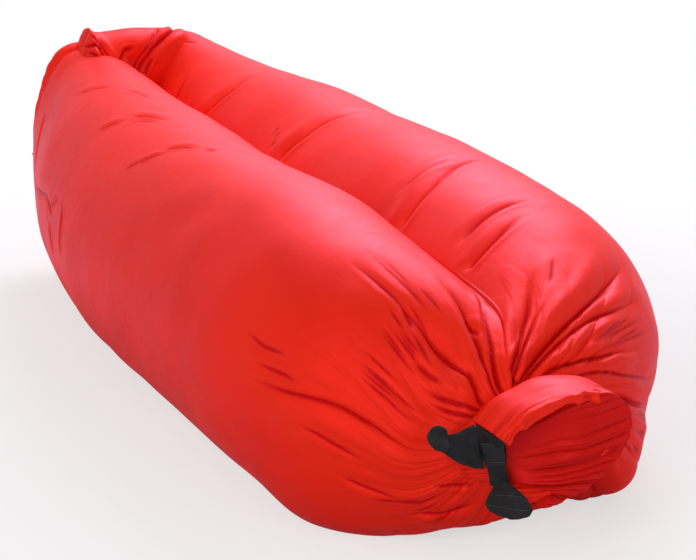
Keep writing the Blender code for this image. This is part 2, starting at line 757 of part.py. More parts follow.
def make_tail_tip(material):
    """The tail's end, folded over and stitched into a block."""
    half = TAIL_END_WIDTH / 2
    start = TAIL_LENGTH + CLEARANCE
    middle = TAIL_THICKNESS / 2
    low = (start, TAIL_RISE - half, middle - TAIL_TIP_THICKNESS / 2)
    high = (start + TAIL_TIP_LENGTH, TAIL_RISE + half, middle + TAIL_TIP_THICKNESS / 2)
    obj = add_object("tail_tip", box(low, high), material, tail_place())
    bevel(obj, TIP_RADIUS)


def make_body():
    shell = make_material("shell_cloth", RED, 0.42)
    film = make_material("liner_film", FILM, 0.25)
    tape = make_material("binding_tape", DARK_RED, 0.6)
    make_shell("shell_left", -1, shell)
    make_shell("shell_right", 1, shell)
    make_liner("liner_left", -1, film)
    make_liner("liner_right", 1, film)
    make_seam_web(tape)
    make_pillow(make_material("pillow_cloth", RED, 0.42))
    make_binding(tape)
    make_collar(make_material("collar_cloth", RED, 0.45))


def make_closure():
    cloth = make_material("roll_cloth", RED, 0.42)
    webbing = make_material("black_webbing", BLACK, 0.75)
    moulded = make_material("moulded_black", MOULDED_BLACK, 0.4)
    make_roll(cloth)
    make_stiffener(make_material("stiffener_plastic", FILM, 0.5))
    make_mouth_face(make_material("face_cloth", DARK_RED, 0.5))
    make_upper_anchor(webbing)
    make_lower_anchor(webbing)
    make_straps(webbing)
    make_socket(moulded)
    make_plug(moulded)
    make_prong("plug_prong_front", -1, moulded)
    make_prong("plug_prong_back", 1, moulded)
    make_tail(webbing)
    make_tail_tip(webbing)


def main():
    global parts, cutters
    clear_scene()
    parts = make_collection("inflatable_lounger")
    cutters = make_collection("cutters")
    make_body()
    make_closure()


main()
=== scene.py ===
"""Looks of the inflatable lounger: satin nylon chambers, folds, pleats, webbing and buckle.

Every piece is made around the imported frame, in metres, +Z up. The two air chambers run
along Y, the rolled mouth is at the foot (-Y) and the cross pillow at the head (+Y).
"""

import logging
import math
from dataclasses import dataclass, field
from enum import Enum
from functools import partialmethod
from typing import Any, Optional, Sequence, Union

import bmesh
import bpy
import numpy as np
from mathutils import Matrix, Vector


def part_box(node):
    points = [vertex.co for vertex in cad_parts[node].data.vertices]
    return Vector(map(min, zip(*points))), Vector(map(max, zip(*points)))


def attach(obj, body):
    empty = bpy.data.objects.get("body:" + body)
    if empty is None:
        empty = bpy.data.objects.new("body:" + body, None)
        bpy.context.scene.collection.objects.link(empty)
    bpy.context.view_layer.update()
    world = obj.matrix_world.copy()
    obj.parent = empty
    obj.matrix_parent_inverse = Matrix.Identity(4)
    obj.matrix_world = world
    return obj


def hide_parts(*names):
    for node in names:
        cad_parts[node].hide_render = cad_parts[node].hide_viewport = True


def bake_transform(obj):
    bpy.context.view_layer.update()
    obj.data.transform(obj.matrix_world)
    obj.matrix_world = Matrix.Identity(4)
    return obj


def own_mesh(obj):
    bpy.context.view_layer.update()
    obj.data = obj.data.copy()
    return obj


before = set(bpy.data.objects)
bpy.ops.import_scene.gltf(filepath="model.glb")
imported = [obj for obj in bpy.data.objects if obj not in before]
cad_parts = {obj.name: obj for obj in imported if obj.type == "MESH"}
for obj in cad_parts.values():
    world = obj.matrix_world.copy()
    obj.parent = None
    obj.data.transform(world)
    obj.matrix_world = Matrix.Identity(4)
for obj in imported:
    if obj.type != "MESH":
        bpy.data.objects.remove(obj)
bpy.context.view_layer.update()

log = logging.getLogger("lounger")

# Where the two necks run into the rolled mouth: an ellipse, tilted and beside the middle line.
NECK_HEIGHT = 0.208
NECK_HALF_WIDTH = 0.112
NECK_HALF_HEIGHT = 0.067
MOUTH_TILT = math.radians(20)
MOUTH_OFFSET = -0.026

# The least length that a vector is divided by, and how many points are compared at once.
TINY = 1e-12
BATCH = 40000

Colour = tuple[float, float, float, float]
Path = tuple[tuple[float, float], ...]
Place = tuple[float, float, float]
Edge = tuple[Place, ...]


class Side(Enum):
    """The two chambers, by the side of the middle line that they lie on."""

    NEAR = -1
    FAR = 1


class Body(Enum):
    """The bodies of the frame that pieces ride on."""

    LOUNGER = "lounger"
    CLOSURE = "closure"
    TAIL = "tail"


# Shader and geometry nodes


class Term:
    """A node's output that takes part in Python arithmetic."""

    def __init__(self, kit: "NodeKit", socket: bpy.types.NodeSocket) -> None:
        self.kit = kit
        self.socket = socket

    def _with(self, operation: str, other: "Value", swapped: bool = False) -> "Term":
        """Adds a Math node."""
        first, second = (other, self) if swapped else (self, other)
        return self.kit.maths(operation, first, second)

    __add__ = partialmethod(_with, "ADD")
    __radd__ = partialmethod(_with, "ADD", swapped=True)
    __sub__ = partialmethod(_with, "SUBTRACT")
    __rsub__ = partialmethod(_with, "SUBTRACT", swapped=True)
    __mul__ = partialmethod(_with, "MULTIPLY")
    __rmul__ = partialmethod(_with, "MULTIPLY", swapped=True)
    __truediv__ = partialmethod(_with, "DIVIDE")
    __rtruediv__ = partialmethod(_with, "DIVIDE", swapped=True)


Value = Union[Term, float, Sequence[float]]
Key = Union[str, int]
Sockets = dict[Key, Value]


class NodeKit:
    """Adds nodes to one tree, with their settings set first."""

    def __init__(self, tree: bpy.types.NodeTree) -> None:
        """Keeps the tree."""
        self.tree = tree

    def node(self, kind: str, settings: Optional[dict[str, Any]] = None,
             sockets: Optional[Sockets] = None) -> bpy.types.Node:
        """Adds a node.

        Args:
            kind: the node's type name.
            settings: its properties.
            sockets: its inputs by name or number, each a value or a Term.

        Returns:
            The new node.
        """
        made = self.tree.nodes.new(kind)
        for name, value in (settings or {}).items():
            setattr(made, name, value)
        for name, value in (sockets or {}).items():
            self.feed(made.inputs[name], value)
        return made

    def feed(self, socket: bpy.types.NodeSocket, value: Value) -> None:
        """Links a Term to a socket, or sets the socket's value.

        Args:
            socket: the input.
            value: what it gets.
        """
        if isinstance(value, Term):
            self.tree.links.new(value.socket, socket)
        else:
            socket.default_value = value

    def outlet(self, made: bpy.types.Node, output: Key) -> Term:
        """One of a node's outputs."""
        return Term(self, made.outputs[output])

    def term(self, kind: str, output: Key, settings: Optional[dict[str, Any]] = None,
             sockets: Optional[Sockets] = None) -> Term:
        """Adds a node and gives one of its outputs."""
        return self.outlet(self.node(kind, settings, sockets), output)

    def maths(self, operation: str, *values: Value) -> Term:
        """Adds a Math node."""
        return self.term("ShaderNodeMath", 0, {"operation": operation}, dict(enumerate(values)))

    def ramp(self, value: Term, low: float, high: float,
             start: float = 0.0, end: float = 1.0) -> Term:
        """Maps a range to another with a smooth step."""
        return self.term("ShaderNodeMapRange", 0, {"interpolation_type": "SMOOTHSTEP"},
                         {0: value, 1: low, 2: high, 3: start, 4: end})

    def blend(self, share: Value, first: Value, second: Value) -> Term:
        """Mixes two colours."""
        return self.term("ShaderNodeMix", 2, {"data_type": "RGBA"},
                         {0: share, 6: first, 7: second})

    def close(self, kind: str, shader: Term) -> None:
        """Ends the tree in an output node of that kind."""
        self.node(kind, None, {"Surface": shader})


class Surface(NodeKit):
    """The node tree of one finish, from coordinates to the shader."""

    def __init__(self, name: str) -> None:
        """Starts an empty material of that name."""
        self.material = bpy.data.materials.new(name)
        self.material.use_nodes = True
        self.material.node_tree.nodes.clear()
        super().__init__(self.material.node_tree)
        self.place = self.term("ShaderNodeTexCoord", "Object")
        self.cloth_place = self.term("ShaderNodeTexCoord", "UV")

    def mark(self, name: str) -> Term:
        """Reads a value kept on the mesh under that name."""
        return self.term("ShaderNodeAttribute", "Fac", {"attribute_name": name})

    def stretched(self, source: Term, scale: Sequence[float]) -> Term:
        """Scales a pattern's coordinates."""
        return self.term("ShaderNodeMapping", 0, None, {0: source, 3: scale})

    def noise(self, source: Term, scale: float, detail: float = 2.0,
              distortion: float = 0.0) -> Term:
        """Adds a noise pattern."""
        return self.term("ShaderNodeTexNoise", 0, None, {
            "Vector": source, "Scale": scale, "Detail": detail, "Distortion": distortion})

    def crests(self, pattern: Term) -> Term:
        """Sharp valleys, and rounded crests, where a pattern passes its middle."""
        return self.maths("ABSOLUTE", pattern - 0.5) * 2.0

    def ribs(self, place: Term, pitch: float) -> Term:
        """Even ribs at a pitch, from 0 up to 1 and back."""
        return self.maths("PINGPONG", place, pitch / 2) / (pitch / 2)

    def across(self, source: Term) -> tuple[Term, Term]:
        """Splits flat coordinates into their two values."""
        parts = self.node("ShaderNodeSeparateXYZ", None, {0: source})
        return self.outlet(parts, 0), self.outlet(parts, 1)

    def bump(self, height: Term, distance: float, strength: float = 1.0,
             under: Optional[Term] = None) -> Term:
        """Turns a height into a normal.

        Args:
            height: the height, from 0 to 1.
            distance: how far 1 stands proud, in metres.
            strength: how much of it shows.
            under: the normal of the layer below.

        Returns:
            The normal.
        """
        sockets: Sockets = {"Height": height, "Distance": distance, "Strength": strength}
        if under is not None:
            sockets["Normal"] = under
        return self.term("ShaderNodeBump", 0, None, sockets)

    def finish(self, colour: Term, roughness: Term, normal: Term,
               constant: Optional[Sockets] = None) -> bpy.types.Material:
        """Ends the tree in a Principled shader.

        Args:
            colour: its base colour.
            roughness: its roughness.
            normal: its normal.
            constant: its inputs that are the same all over.

        Returns:
            The finished material.
        """
        sockets = {"Base Color": colour, "Roughness": roughness, "Normal": normal}
        shader = self.term("ShaderNodeBsdfPrincipled", 0, None, {**sockets, **(constant or {})})
        self.close("ShaderNodeOutputMaterial", shader)
        return self.material


@dataclass(frozen=True)
class SatinNylon:
    """Thin coated nylon with a silky face, crinkled where it is gathered.

    Attributes:
        name: the material's name.
        colour: the cloth's colour.
        shade_and_cloud_colour: the painted shade in its folds, creases and pleat valleys, and the
            colour of its broad, worn clouds.
        roughness: its mean roughness.
        crinkle: how far the crinkles stand out.
        thread: how far the ripstop threads stand out.
        ripstop_pitch: how far apart those threads are.
    """

    name: str
    colour: Colour
    shade_and_cloud_colour: Colour
    roughness: float = 0.48
    crinkle: float = 0.0017
    thread: float = 0.00012
    ripstop_pitch: float = 0.0052

    def build(self) -> bpy.types.Material:
        """Makes the material."""
        s = Surface(self.name)
        fold = s.mark("fold")
        gather = s.mark("gather")
        broad = s.noise(s.place, 5.0, 3.0, 0.4)
        fine = s.noise(s.place, 34.0, 4.0, 1.2)
        crisp = s.crests(s.noise(s.place, 13.0, 3.0, 1.8))
        drawn = s.noise(s.stretched(s.cloth_place, (105.0, 9.0, 1.0)), 1.0, 3.0, 0.5)
        drawn_wide = s.noise(s.stretched(s.cloth_place, (42.0, 4.5, 1.0)), 1.0, 2.0, 0.7)
        rib_u, rib_v = (s.ribs(flat, self.ripstop_pitch) for flat in s.across(s.cloth_place))
        ripstop = s.ramp(s.maths("MAXIMUM", rib_u, rib_v), 0.88, 1.0)
        calm = 1.0 - gather
        crinkles = (crisp * 0.5 + fine * 0.3) * (0.50 + gather * 0.50)
        height = crinkles + (drawn * 0.5 + drawn_wide * 0.5) * gather
        normal = s.bump(ripstop, self.thread, 0.5, s.bump(height, self.crinkle))
        clouds = s.ramp(broad, 0.30, 0.72) * 0.30 * calm
        tint = s.blend(clouds, self.colour, self.shade_and_cloud_colour)
        # Painted shade: the fold mark darkens the colour along creases and in pleat valleys.
        colour = s.blend(s.ramp(fold, 0.05, 1.0), tint, self.shade_and_cloud_colour)
        rough = self.roughness + (fine - 0.5) * 0.16 + ripstop * 0.05
        return s.finish(colour, rough, normal, SATIN_GLOSS)


@dataclass(frozen=True)
class Webbing:
    """Woven strap: ribs across, a herringbone in them, and a fuzzy edge."""

    name: str
    colour: Colour
    worn_colour: Colour
    rib_pitch: float = 0.0014
    depth: float = 0.00035

    def build(self) -> bpy.types.Material:
        """Makes the material."""
        s = Surface(self.name)
        u, v = s.across(s.cloth_place)
        slant = s.maths("PINGPONG", u, self.rib_pitch * 3)
        weave = s.ribs(v + slant * 0.7, self.rib_pitch) * 0.7 + s.ribs(u, self.rib_pitch) * 0.3
        fuzz = s.noise(s.place, 900.0)
        worn = s.ramp(s.noise(s.place, 60.0, 3.0), 0.45, 0.75)
        colour = s.blend(worn * 0.5 + weave * 0.3, self.colour, self.worn_colour)
        return s.finish(colour, 0.62 + fuzz * 0.2, s.bump(weave + fuzz * 0.3, self.depth),
                        {"Specular IOR Level": 0.30, "Sheen Weight": 0.02, "Sheen Roughness": 0.5})


@dataclass(frozen=True)
class MouldedPlastic:
    """Moulded acetal with a fine spark-eroded grain and rubbed corners."""

    name: str
    colour: Colour
    rubbed_colour: Colour
    roughness: float = 0.46
    grain: float = 0.00006

    def build(self) -> bpy.types.Material:
        """Makes the material."""
        s = Surface(self.name)
        grain = s.noise(s.place, 2200.0)
        rubbing = s.noise(s.stretched(s.place, (260.0, 60.0, 60.0)), 1.0, 4.0, 0.6)
        scuffs = s.ramp(rubbing, 0.62, 0.80)
        colour = s.blend(scuffs * 0.4, self.colour, self.rubbed_colour)
        return s.finish(colour, self.roughness + scuffs * 0.2, s.bump(grain, self.grain),
                        {"Specular IOR Level": 0.35})


@dataclass(frozen=True)
class Film:
    """Milky plastic film with soft wrinkles."""

    name: str
    colour: Colour
    roughness: float
    wrinkle: float
    cloud_colour: Colour = (0.92, 0.94, 0.95, 1.0)

    def build(self) -> bpy.types.Material:
        """Makes the material."""
        s = Surface(self.name)
        wrinkles = s.crests(s.noise(s.place, 26.0, 4.0, 2.0))
        cloud = s.noise(s.place, 7.0)
        colour = s.blend(cloud * 0.3, self.colour, self.cloud_colour)
        return s.finish(colour, self.roughness + cloud * 0.1, s.bump(wrinkles, self.wrinkle),
                        {"Coat Weight": 0.3})


@dataclass(frozen=True)
class Tape:
    """Folded binding tape with a plain weave and a row of ribs."""

    name: str
    colour: Colour
    dark_colour: Colour
    pitch: float = 0.0016
    depth: float = 0.0003

    def build(self) -> bpy.types.Material:
        """Makes the material."""
        s = Surface(self.name)
        x, y = s.across(s.place)
        rib = s.ribs(x + y * 0.3, self.pitch)
        slub = s.noise(s.stretched(s.place, (600.0, 90.0, 600.0)), 1.0, 3.0)
        colour = s.blend(rib * 0.4 + slub * 0.3, self.colour, self.dark_colour)
        return s.finish(colour, 0.55 + slub * 0.2, s.bump(rib + slub * 0.5, self.depth))


@dataclass(frozen=True)
class Thread:
    """Twisted sewing thread."""

    name: str
    colour: Colour
    lit_colour: Colour
    depth: float = 0.0002

    def build(self) -> bpy.types.Material:
        """Makes the material."""
        s = Surface(self.name)
        twist = s.noise(s.stretched(s.place, (1800.0, 1800.0, 1800.0)), 1.0)
        colour = s.blend(twist, self.colour, self.lit_colour)
        return s.finish(colour, 0.5 + twist * 0.2, s.bump(twist, self.depth))


SATIN_GLOSS: Sockets = {
    "IOR": 1.30, "Specular IOR Level": 0.34, "Specular Tint": (1.0, 0.36, 0.84, 1.0),
    "Metallic": 0.20, "Sheen Weight": 0.020, "Sheen Roughness": 0.42,
    "Sheen Tint": (1.0, 0.16, 0.52, 1.0),
}
RED: Colour = (0.880, 0.024, 0.005, 1.0)
# Painted shade: the deeper red that the satin's creases and pleat valleys are darkened to; also
# the satin's cloud colour and the tape's dark weave.
DEEP_RED_AND_CREASE_SHADE: Colour = (0.540, 0.002, 0.001, 1.0)
# Painted shade: darker copies of the red and of the crease red, for the mouth's face, which lies
# in shade under the roll.
SHADED_RED: Colour = (0.620, 0.009, 0.003, 1.0)
SHADED_FOLD_RED: Colour = (0.300, 0.002, 0.001, 1.0)
BLACK: Colour = (0.0035, 0.0035, 0.0042, 1.0)
GREY: Colour = (0.014, 0.014, 0.017, 1.0)
MILKY: Colour = (0.75, 0.78, 0.80, 1.0)
TAPE_RED: Colour = (0.60, 0.016, 0.012, 1.0)
THREAD_RED: Colour = (0.62, 0.02, 0.02, 1.0)
THREAD_LIT_RED: Colour = (0.95, 0.16, 0.14, 1.0)
THREAD_LIT_BLACK: Colour = (0.10, 0.10, 0.11, 1.0)
WHITE: Colour = (1.0, 1.0, 1.0, 1.0)
PALE: Colour = (0.86, 0.86, 0.86, 1.0)
PALE_GRAIN: Colour = (0.82, 0.82, 0.82, 1.0)


class Finishes:
    """Every material of the lounger, made once."""

    def __init__(self) -> None:
        """Builds them all."""
        self.shell = SatinNylon("shell_satin", RED, DEEP_RED_AND_CREASE_SHADE).build()
        self.pillow = SatinNylon("pillow_satin", RED, DEEP_RED_AND_CREASE_SHADE).build()
        self.collar = SatinNylon("collar_satin", RED, DEEP_RED_AND_CREASE_SHADE, crinkle=0.0016).build()
        self.roll = SatinNylon("roll_satin", RED, DEEP_RED_AND_CREASE_SHADE, crinkle=0.0016).build()
        # Painted shade: the face's satin is a darker copy of the shell's.
        self.face = SatinNylon("mouth_shaded_satin", SHADED_RED, SHADED_FOLD_RED, roughness=0.46).build()
        self.webbing = Webbing("black_webbing", BLACK, GREY).build()
        self.moulded = MouldedPlastic("moulded_black", BLACK, GREY).build()
        self.film = Film("liner_film", MILKY, 0.22, 0.0012).build()
        self.strip = Film("stiffener_plastic", MILKY, 0.45, 0.0002).build()
        self.tape = Tape("binding_tape", TAPE_RED, DEEP_RED_AND_CREASE_SHADE).build()
        self.red_thread = Thread("red_thread", THREAD_RED, THREAD_LIT_RED).build()
        self.black_thread = Thread("black_thread", BLACK, THREAD_LIT_BLACK).build()


# Meshes


@dataclass
class Lattice:
    """A grid of points in rows, which becomes a mesh with flat coordinates and marks.

    Attributes:
        points: rows by columns by three.
        closed: whether the last column joins the first.
        across: the flat coordinate of each column, with one more where closed.
        along: the flat coordinate of each row.
        marks: values kept on the points, by name, rows by columns.
        ends: whether the first and the last row are closed by a pole.
    """

    points: np.ndarray
    closed: bool
    across: np.ndarray
    along: np.ndarray
    marks: dict[str, np.ndarray] = field(default_factory=dict)
    ends: tuple[bool, bool] = (False, False)

    def normals(self, away: np.ndarray) -> np.ndarray:
        """Unit normals of closed rings' points, turned to the side that away points to."""
        around = np.roll(self.points, -1, 1) - np.roll(self.points, 1, 1)
        found = unit(np.cross(around, np.gradient(self.points, axis=0)))
        return found if (found * away).sum() >= 0 else -found

    def build(self, name: str, material: bpy.types.Material,
              flip: bool = False) -> bpy.types.Object:
        """Makes the mesh object.

        Args:
            name: the piece's name.
            material: its finish.
            flip: whether the faces turn the other way.

        Returns:
            The object, linked to the scene.
        """
        rows, columns, _ = self.points.shape
        verts = self.points.reshape(-1, 3)
        spans = columns if self.closed else columns - 1
        i, j = np.meshgrid(np.arange(rows - 1), np.arange(spans), indexing="ij")
        near, far = i * columns, (i + 1) * columns
        k = (j + 1) % columns
        quads = np.stack([near + j, near + k, far + k, far + j], -1).reshape(-1, 4)
        u0, u1, v0, v1 = self.across[j], self.across[j + 1], self.along[i], self.along[i + 1]
        corners = ((u0, v0), (u1, v0), (u1, v1), (u0, v1))
        flat = np.stack([np.stack(corner, -1) for corner in corners], 2).reshape(-1, 4, 2)
        if flip:
            quads, flat = quads[:, ::-1], flat[:, ::-1]
        faces = quads.tolist()
        flats = [flat.reshape(-1, 2)]
        extra = []
        for at_end, capped in enumerate(self.ends):
            if not capped:
                continue
            row = (rows - 1) * at_end
            centre = len(verts) + len(extra)
            extra.append(self.points[row].mean(0))
            for c in range(spans):
                a, b = row * columns + c, row * columns + (c + 1) % columns
                faces.append([b, a, centre] if at_end == flip else [a, b, centre])
                flats.append(np.full((3, 2), self.along[row]))
        if extra:
            verts = np.vstack([verts, np.array(extra)])
        mesh = bpy.data.meshes.new(name)
        mesh.from_pydata(verts.tolist(), [], faces)
        layer = mesh.uv_layers.new(name="cloth")
        layer.data.foreach_set("uv", np.vstack(flats).astype(np.float32).ravel())
        for mark, values in self.marks.items():
            attribute = mesh.attributes.new(mark, "FLOAT", "POINT")
            whole = np.concatenate([values.ravel(), np.zeros(len(extra))]).astype(np.float32)
            attribute.data.foreach_set("value", whole)
        mesh.validate()
        mesh.materials.append(material)
        mesh.shade_smooth()
        return shown(name, mesh)


def shown(name: str, data: bpy.types.ID) -> bpy.types.Object:
    """Makes an object of some data and links it to the scene."""
    obj = bpy.data.objects.new(name, data)
    bpy.context.scene.collection.objects.link(obj)
    return obj


def settle(piece: bpy.types.Object, body: Body, slot: str, *nodes: str) -> None:
    """Puts a finished piece on its body and in the place of CAD nodes.

    Args:
        piece: the piece.
        body: what it rides on.
        slot: not used.
        nodes: the CAD nodes that it stands for.
    """
    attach(piece, body.value)
    if nodes:
        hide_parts(*nodes)
    report(piece)


def report(obj: bpy.types.Object) -> None:
    """Logs a finished piece."""
    log.info("%s: %d faces", obj.name, len(obj.data.polygons))


def turn_outward(obj: bpy.types.Object) -> None:
    """Turns a closed mesh's faces outwards, by its signed volume."""
    mesh_data = bmesh.new()
    mesh_data.from_mesh(obj.data)
    if mesh_data.calc_volume(signed=True) < 0:
        bmesh.ops.reverse_faces(mesh_data, faces=mesh_data.faces)
    mesh_data.to_mesh(obj.data)
    mesh_data.free()


def add_wall(obj: bpy.types.Object, thickness: float, offset: float = -1.0) -> None:
    """Gives an open sheet a wall.

    Args:
        obj: the sheet.
        thickness: the wall's thickness.
        offset: -1 puts it inside the faces, 1 outside.
    """
    modifier = obj.modifiers.new("wall", "SOLIDIFY")
    modifier.thickness = thickness
    modifier.offset = offset
    modifier.use_even_offset = False


def mix(low: Any, high: Any, share: Any) -> Any:
    """The value a share of the way from low to high."""
    return low + (high - low) * share


def unit(vectors: np.ndarray) -> np.ndarray:
    """The vectors at length 1."""
    return vectors / np.maximum(np.linalg.norm(vectors, axis=-1, keepdims=True), TINY)


def smooth_step(low: float, high: float, values: np.ndarray) -> np.ndarray:
    """A smooth rise from 0 at low to 1 at high."""
    u = np.clip((values - low) / (high - low), 0, 1)
    return u * u * (3 - 2 * u)


@dataclass(frozen=True)
class Ripples:
    """A smooth, seeded unevenness of space, as a sum of waves."""

    seed: int
    size: float
    waves: int = 14

    def at(self, points: np.ndarray) -> np.ndarray:
        """The unevenness at points, mostly from -1 to 1."""
        rng = np.random.default_rng(self.seed)
        ways = unit(rng.normal(size=(self.waves, 3)))
        lengths = self.size * rng.uniform(0.7, 1.6, self.waves)
        phases = rng.uniform(0, 2 * math.pi, self.waves)
        total = np.zeros(points.shape[:-1])
        for way, length, phase in zip(ways, lengths, phases):
            total += np.sin(points @ way * (2 * math.pi / length) + phase)
        return total / math.sqrt(self.waves / 2) * 0.6


@dataclass(frozen=True)
class Crease:
    """A pinched line in the cloth: a thin line in a soft valley, with painted shade along it and a
    swell beside it.

    Attributes:
        path: its points, each two surface coordinates, such as a share along and an angle.
        depth: how deep it is.
        width: how wide its valley is.
        lean: from -1 to 1, the side that falls more steeply.
        fade_in: the share of its length over which it deepens.
        fade_out: the share over which it dies out.
        flare: how much wider it is at its end than at its start.
        line_width: how wide the thin line at its bottom is, and the painted shade along it.
    """

    path: Path
    depth: float
    width: float
    lean: float = 0.0
    fade_in: float = 0.35
    fade_out: float = 0.35
    flare: float = 1.0
    line_width: float = 0.0030

    # How many widths it reaches, and how its depth is shared by its valley, line and swell.
    REACH = 4.5
    VALLEY_SHARE = 0.78
    LINE_SHARE = 0.22
    SWELL_SHARE = 0.26
    SWELL_PLACE = 2.2
    SWELL_WIDTH = 0.95

    def press(self, points: np.ndarray, normals: np.ndarray, line: np.ndarray,
              push: np.ndarray, fold: np.ndarray) -> None:
        """Adds the crease to a field of displacements.

        Args:
            points: the surface's points.
            normals: their normals.
            line: the crease's own line in space, closely spaced.
            push: the displacements, changed in place.
            fold: how much painted shade each point gets in a fold, changed in place.
        """
        reach = self.width * self.REACH * max(self.flare, 1.0)
        near = np.all((points > line.min(0) - reach) & (points < line.max(0) + reach), axis=-1)
        spots, facing = points[near], normals[near]
        if not len(spots):
            return
        index, distance = closest_on_line(spots, line)
        side = np.cross(unit(np.gradient(line, axis=0))[index], facing)
        signed = distance * np.where(((spots - line[index]) * side).sum(-1) >= 0, 1.0, -1.0)
        share = index / (len(line) - 1)
        strength = np.ones_like(share)
        for fade, place in ((self.fade_in, share), (self.fade_out, 1 - share)):
            if fade > 0:
                strength *= smooth_step(0, fade, place)
        steep = 1 - 0.6 * np.sign(signed) * self.lean
        local = np.abs(signed) / (self.width * steep * mix(1.0, self.flare, share))
        valley = np.exp(-local ** 1.25 * 1.5)
        swell = np.exp(-((local - self.SWELL_PLACE) / self.SWELL_WIDTH) ** 2) * self.SWELL_SHARE
        thin = np.exp(-(signed / self.line_width) ** 2)
        profile = swell - self.VALLEY_SHARE * valley - self.LINE_SHARE * thin
        push[near] += profile * self.depth * strength
        # Painted shade: the colour is darkened along the crease's bottom.
        dark = np.exp(-(signed / (self.line_width * 1.3)) ** 2) * strength
        fold[near] = np.maximum(fold[near], dark)


def closest_on_line(spots: np.ndarray, line: np.ndarray) -> tuple[np.ndarray, np.ndarray]:
    """The nearest point of a line for each spot, worked out in batches.

    Args:
        spots: points in space.
        line: the line's points.

    Returns:
        The index of each nearest point, and its distance.
    """
    index = np.empty(len(spots), int)
    distance = np.empty(len(spots))
    for start in range(0, len(spots), BATCH):
        part = slice(start, start + BATCH)
        squares = ((spots[part, None, :] - line[None, :, :]) ** 2).sum(-1)
        index[part] = squares.argmin(1)
        distance[part] = np.sqrt(squares.min(1))
    return index, distance


@dataclass(frozen=True)
class Swell:
    """A place where the cloth is pushed out, or drawn in, over a round patch.

    Attributes:
        place: its middle, in surface coordinates.
        radius: how far it reaches.
        height: how far it stands out.
    """

    place: tuple[float, float]
    radius: float
    height: float

    def press(self, points: np.ndarray, middle: np.ndarray, push: np.ndarray) -> None:
        """Adds the swell to a field of displacements."""
        squares = ((points - middle) ** 2).sum(-1)
        push += self.height * np.exp(-squares / self.radius ** 2)


@dataclass(frozen=True)
class WrinkleCluster:
    """Short shallow wrinkles that lie side by side.

    Attributes:
        place: the middle of the cluster, a share along and an angle round.
        size: its size in the same two.
        direction: where each wrinkle runs, in the same two.
        count: how many there are.
        seed: their unevenness.
        depth: how deep they are.
        width: how wide each is.
    """

    place: tuple[float, float]
    size: tuple[float, float]
    direction: tuple[float, float]
    count: int
    seed: int
    depth: float = 0.0022
    width: float = 0.0045

    def creases(self) -> list[Crease]:
        """The wrinkles one by one."""
        rng = np.random.default_rng(self.seed)
        made = []
        for _ in range(self.count):
            t, a = (c + s * rng.uniform(-1, 1) for c, s in zip(self.place, self.size))
            dt, da = (d * rng.uniform(0.5, 1.1) for d in self.direction)
            bend = rng.uniform(-0.25, 0.25)
            path = ((t, a), (t + dt * 0.5, a + da * (0.5 + bend)), (t + dt, a + da))
            size = rng.uniform(0.5, 1.0)
            made.append(Crease(path, self.depth * size, self.width, rng.uniform(-0.6, 0.6),
                               0.5, 0.5, line_width=0.0022))
        return made


@dataclass(frozen=True)
class PleatFan:
    """Pleats that run out from the gathered neck, more or less evenly round it.

    Attributes:
        count: how many there are round one chamber.
        depth: how high their ridges stand over the valleys.
        reach: how far they run, as a share of the chamber's length.
        seed: their unevenness.
        sharpness: how narrow the valleys are.
    """

    count: int
    depth: float
    reach: float
    seed: int
    sharpness: float = 0.6

    def press(self, around: np.ndarray, along: np.ndarray,
              push: np.ndarray, fold: np.ndarray) -> None:
        """Adds the pleats to a field of displacements.

        Args:
            around: each point's share round the chamber's arc.
            along: each point's share along it.
            push: the displacements, changed in place.
            fold: how much painted shade each point gets in a fold, changed in place.
        """
        rng = np.random.default_rng(self.seed)
        starts = rng.uniform(0, 2 * math.pi, 3)
        share = np.clip(along / self.reach, 0, 1)
        sway = 0.30 * np.sin(share * 3.2 + starts[0] + around * 9) * share
        uneven = (0.55 * np.sin(around * 11 + starts[1])
                  + 0.45 * np.sin(around * 23 + starts[2]))
        phase = around * self.count + uneven + sway
        index = np.floor(phase).astype(int)
        spare = self.count * 3 + 8
        sizes, reaches = rng.uniform(0.25, 1.0, spare), rng.uniform(0.45, 1.15, spare)
        pick = np.clip(index + self.count, 0, len(sizes) - 1)
        ridge = np.sin(math.pi * (phase - index)) ** self.sharpness
        rise = smooth_step(-0.004, 0.012, along)
        fade = np.clip(1 - along / (self.reach * reaches[pick]), 0, 1) ** 1.6
        common = np.clip(1 - along / (self.reach * 1.15), 0, 1) ** 1.6
        push += self.depth * (sizes[pick] * ridge * fade - 0.55 * common) * rise
        # Painted shade: the colour is darkened in the pleats' valleys.
        valley = np.clip(1 - ridge * 2.2, 0, 1) * fade * rise
        fold[:] = np.maximum(fold, valley * 0.7 * sizes[pick])


# Air chambers


STATION_SHARES = np.array((
    0, 0.012, 0.035, 0.07, 0.12, 0.18, 0.26, 0.38, 0.52, 0.66, 0.78, 0.87, 0.935, 0.975, 0.99, 1,
))
CENTRE_SHARES = (
    0, 0.20, 0.43, 0.66, 0.84, 0.95, 0.99, 1, 1, 0.94, 0.84, 0.75, 0.68, 0.64, 0.62, 0.61,
)
WIDTH_SHARES = (
    0, 0.30, 0.53, 0.74, 0.89, 0.99, 1.01, 1.01, 1, 0.91, 0.75, 0.52, 0.31, 0.16, 0.10, 0.05,
)
TOP_SHARES = (0, 0.16, 0.39, 0.61, 0.79, 0.91, 0.98, 1, 1, 1, 1, 1.01, 1.02, 1, 0.92, 0.02)
BOTTOM_SHARES = (0, 0.45, 0.80, 0.97, 1, 1, 1, 1, 1, 1, 1, 1, 0.97, 0.74, 0.48, 0.02)


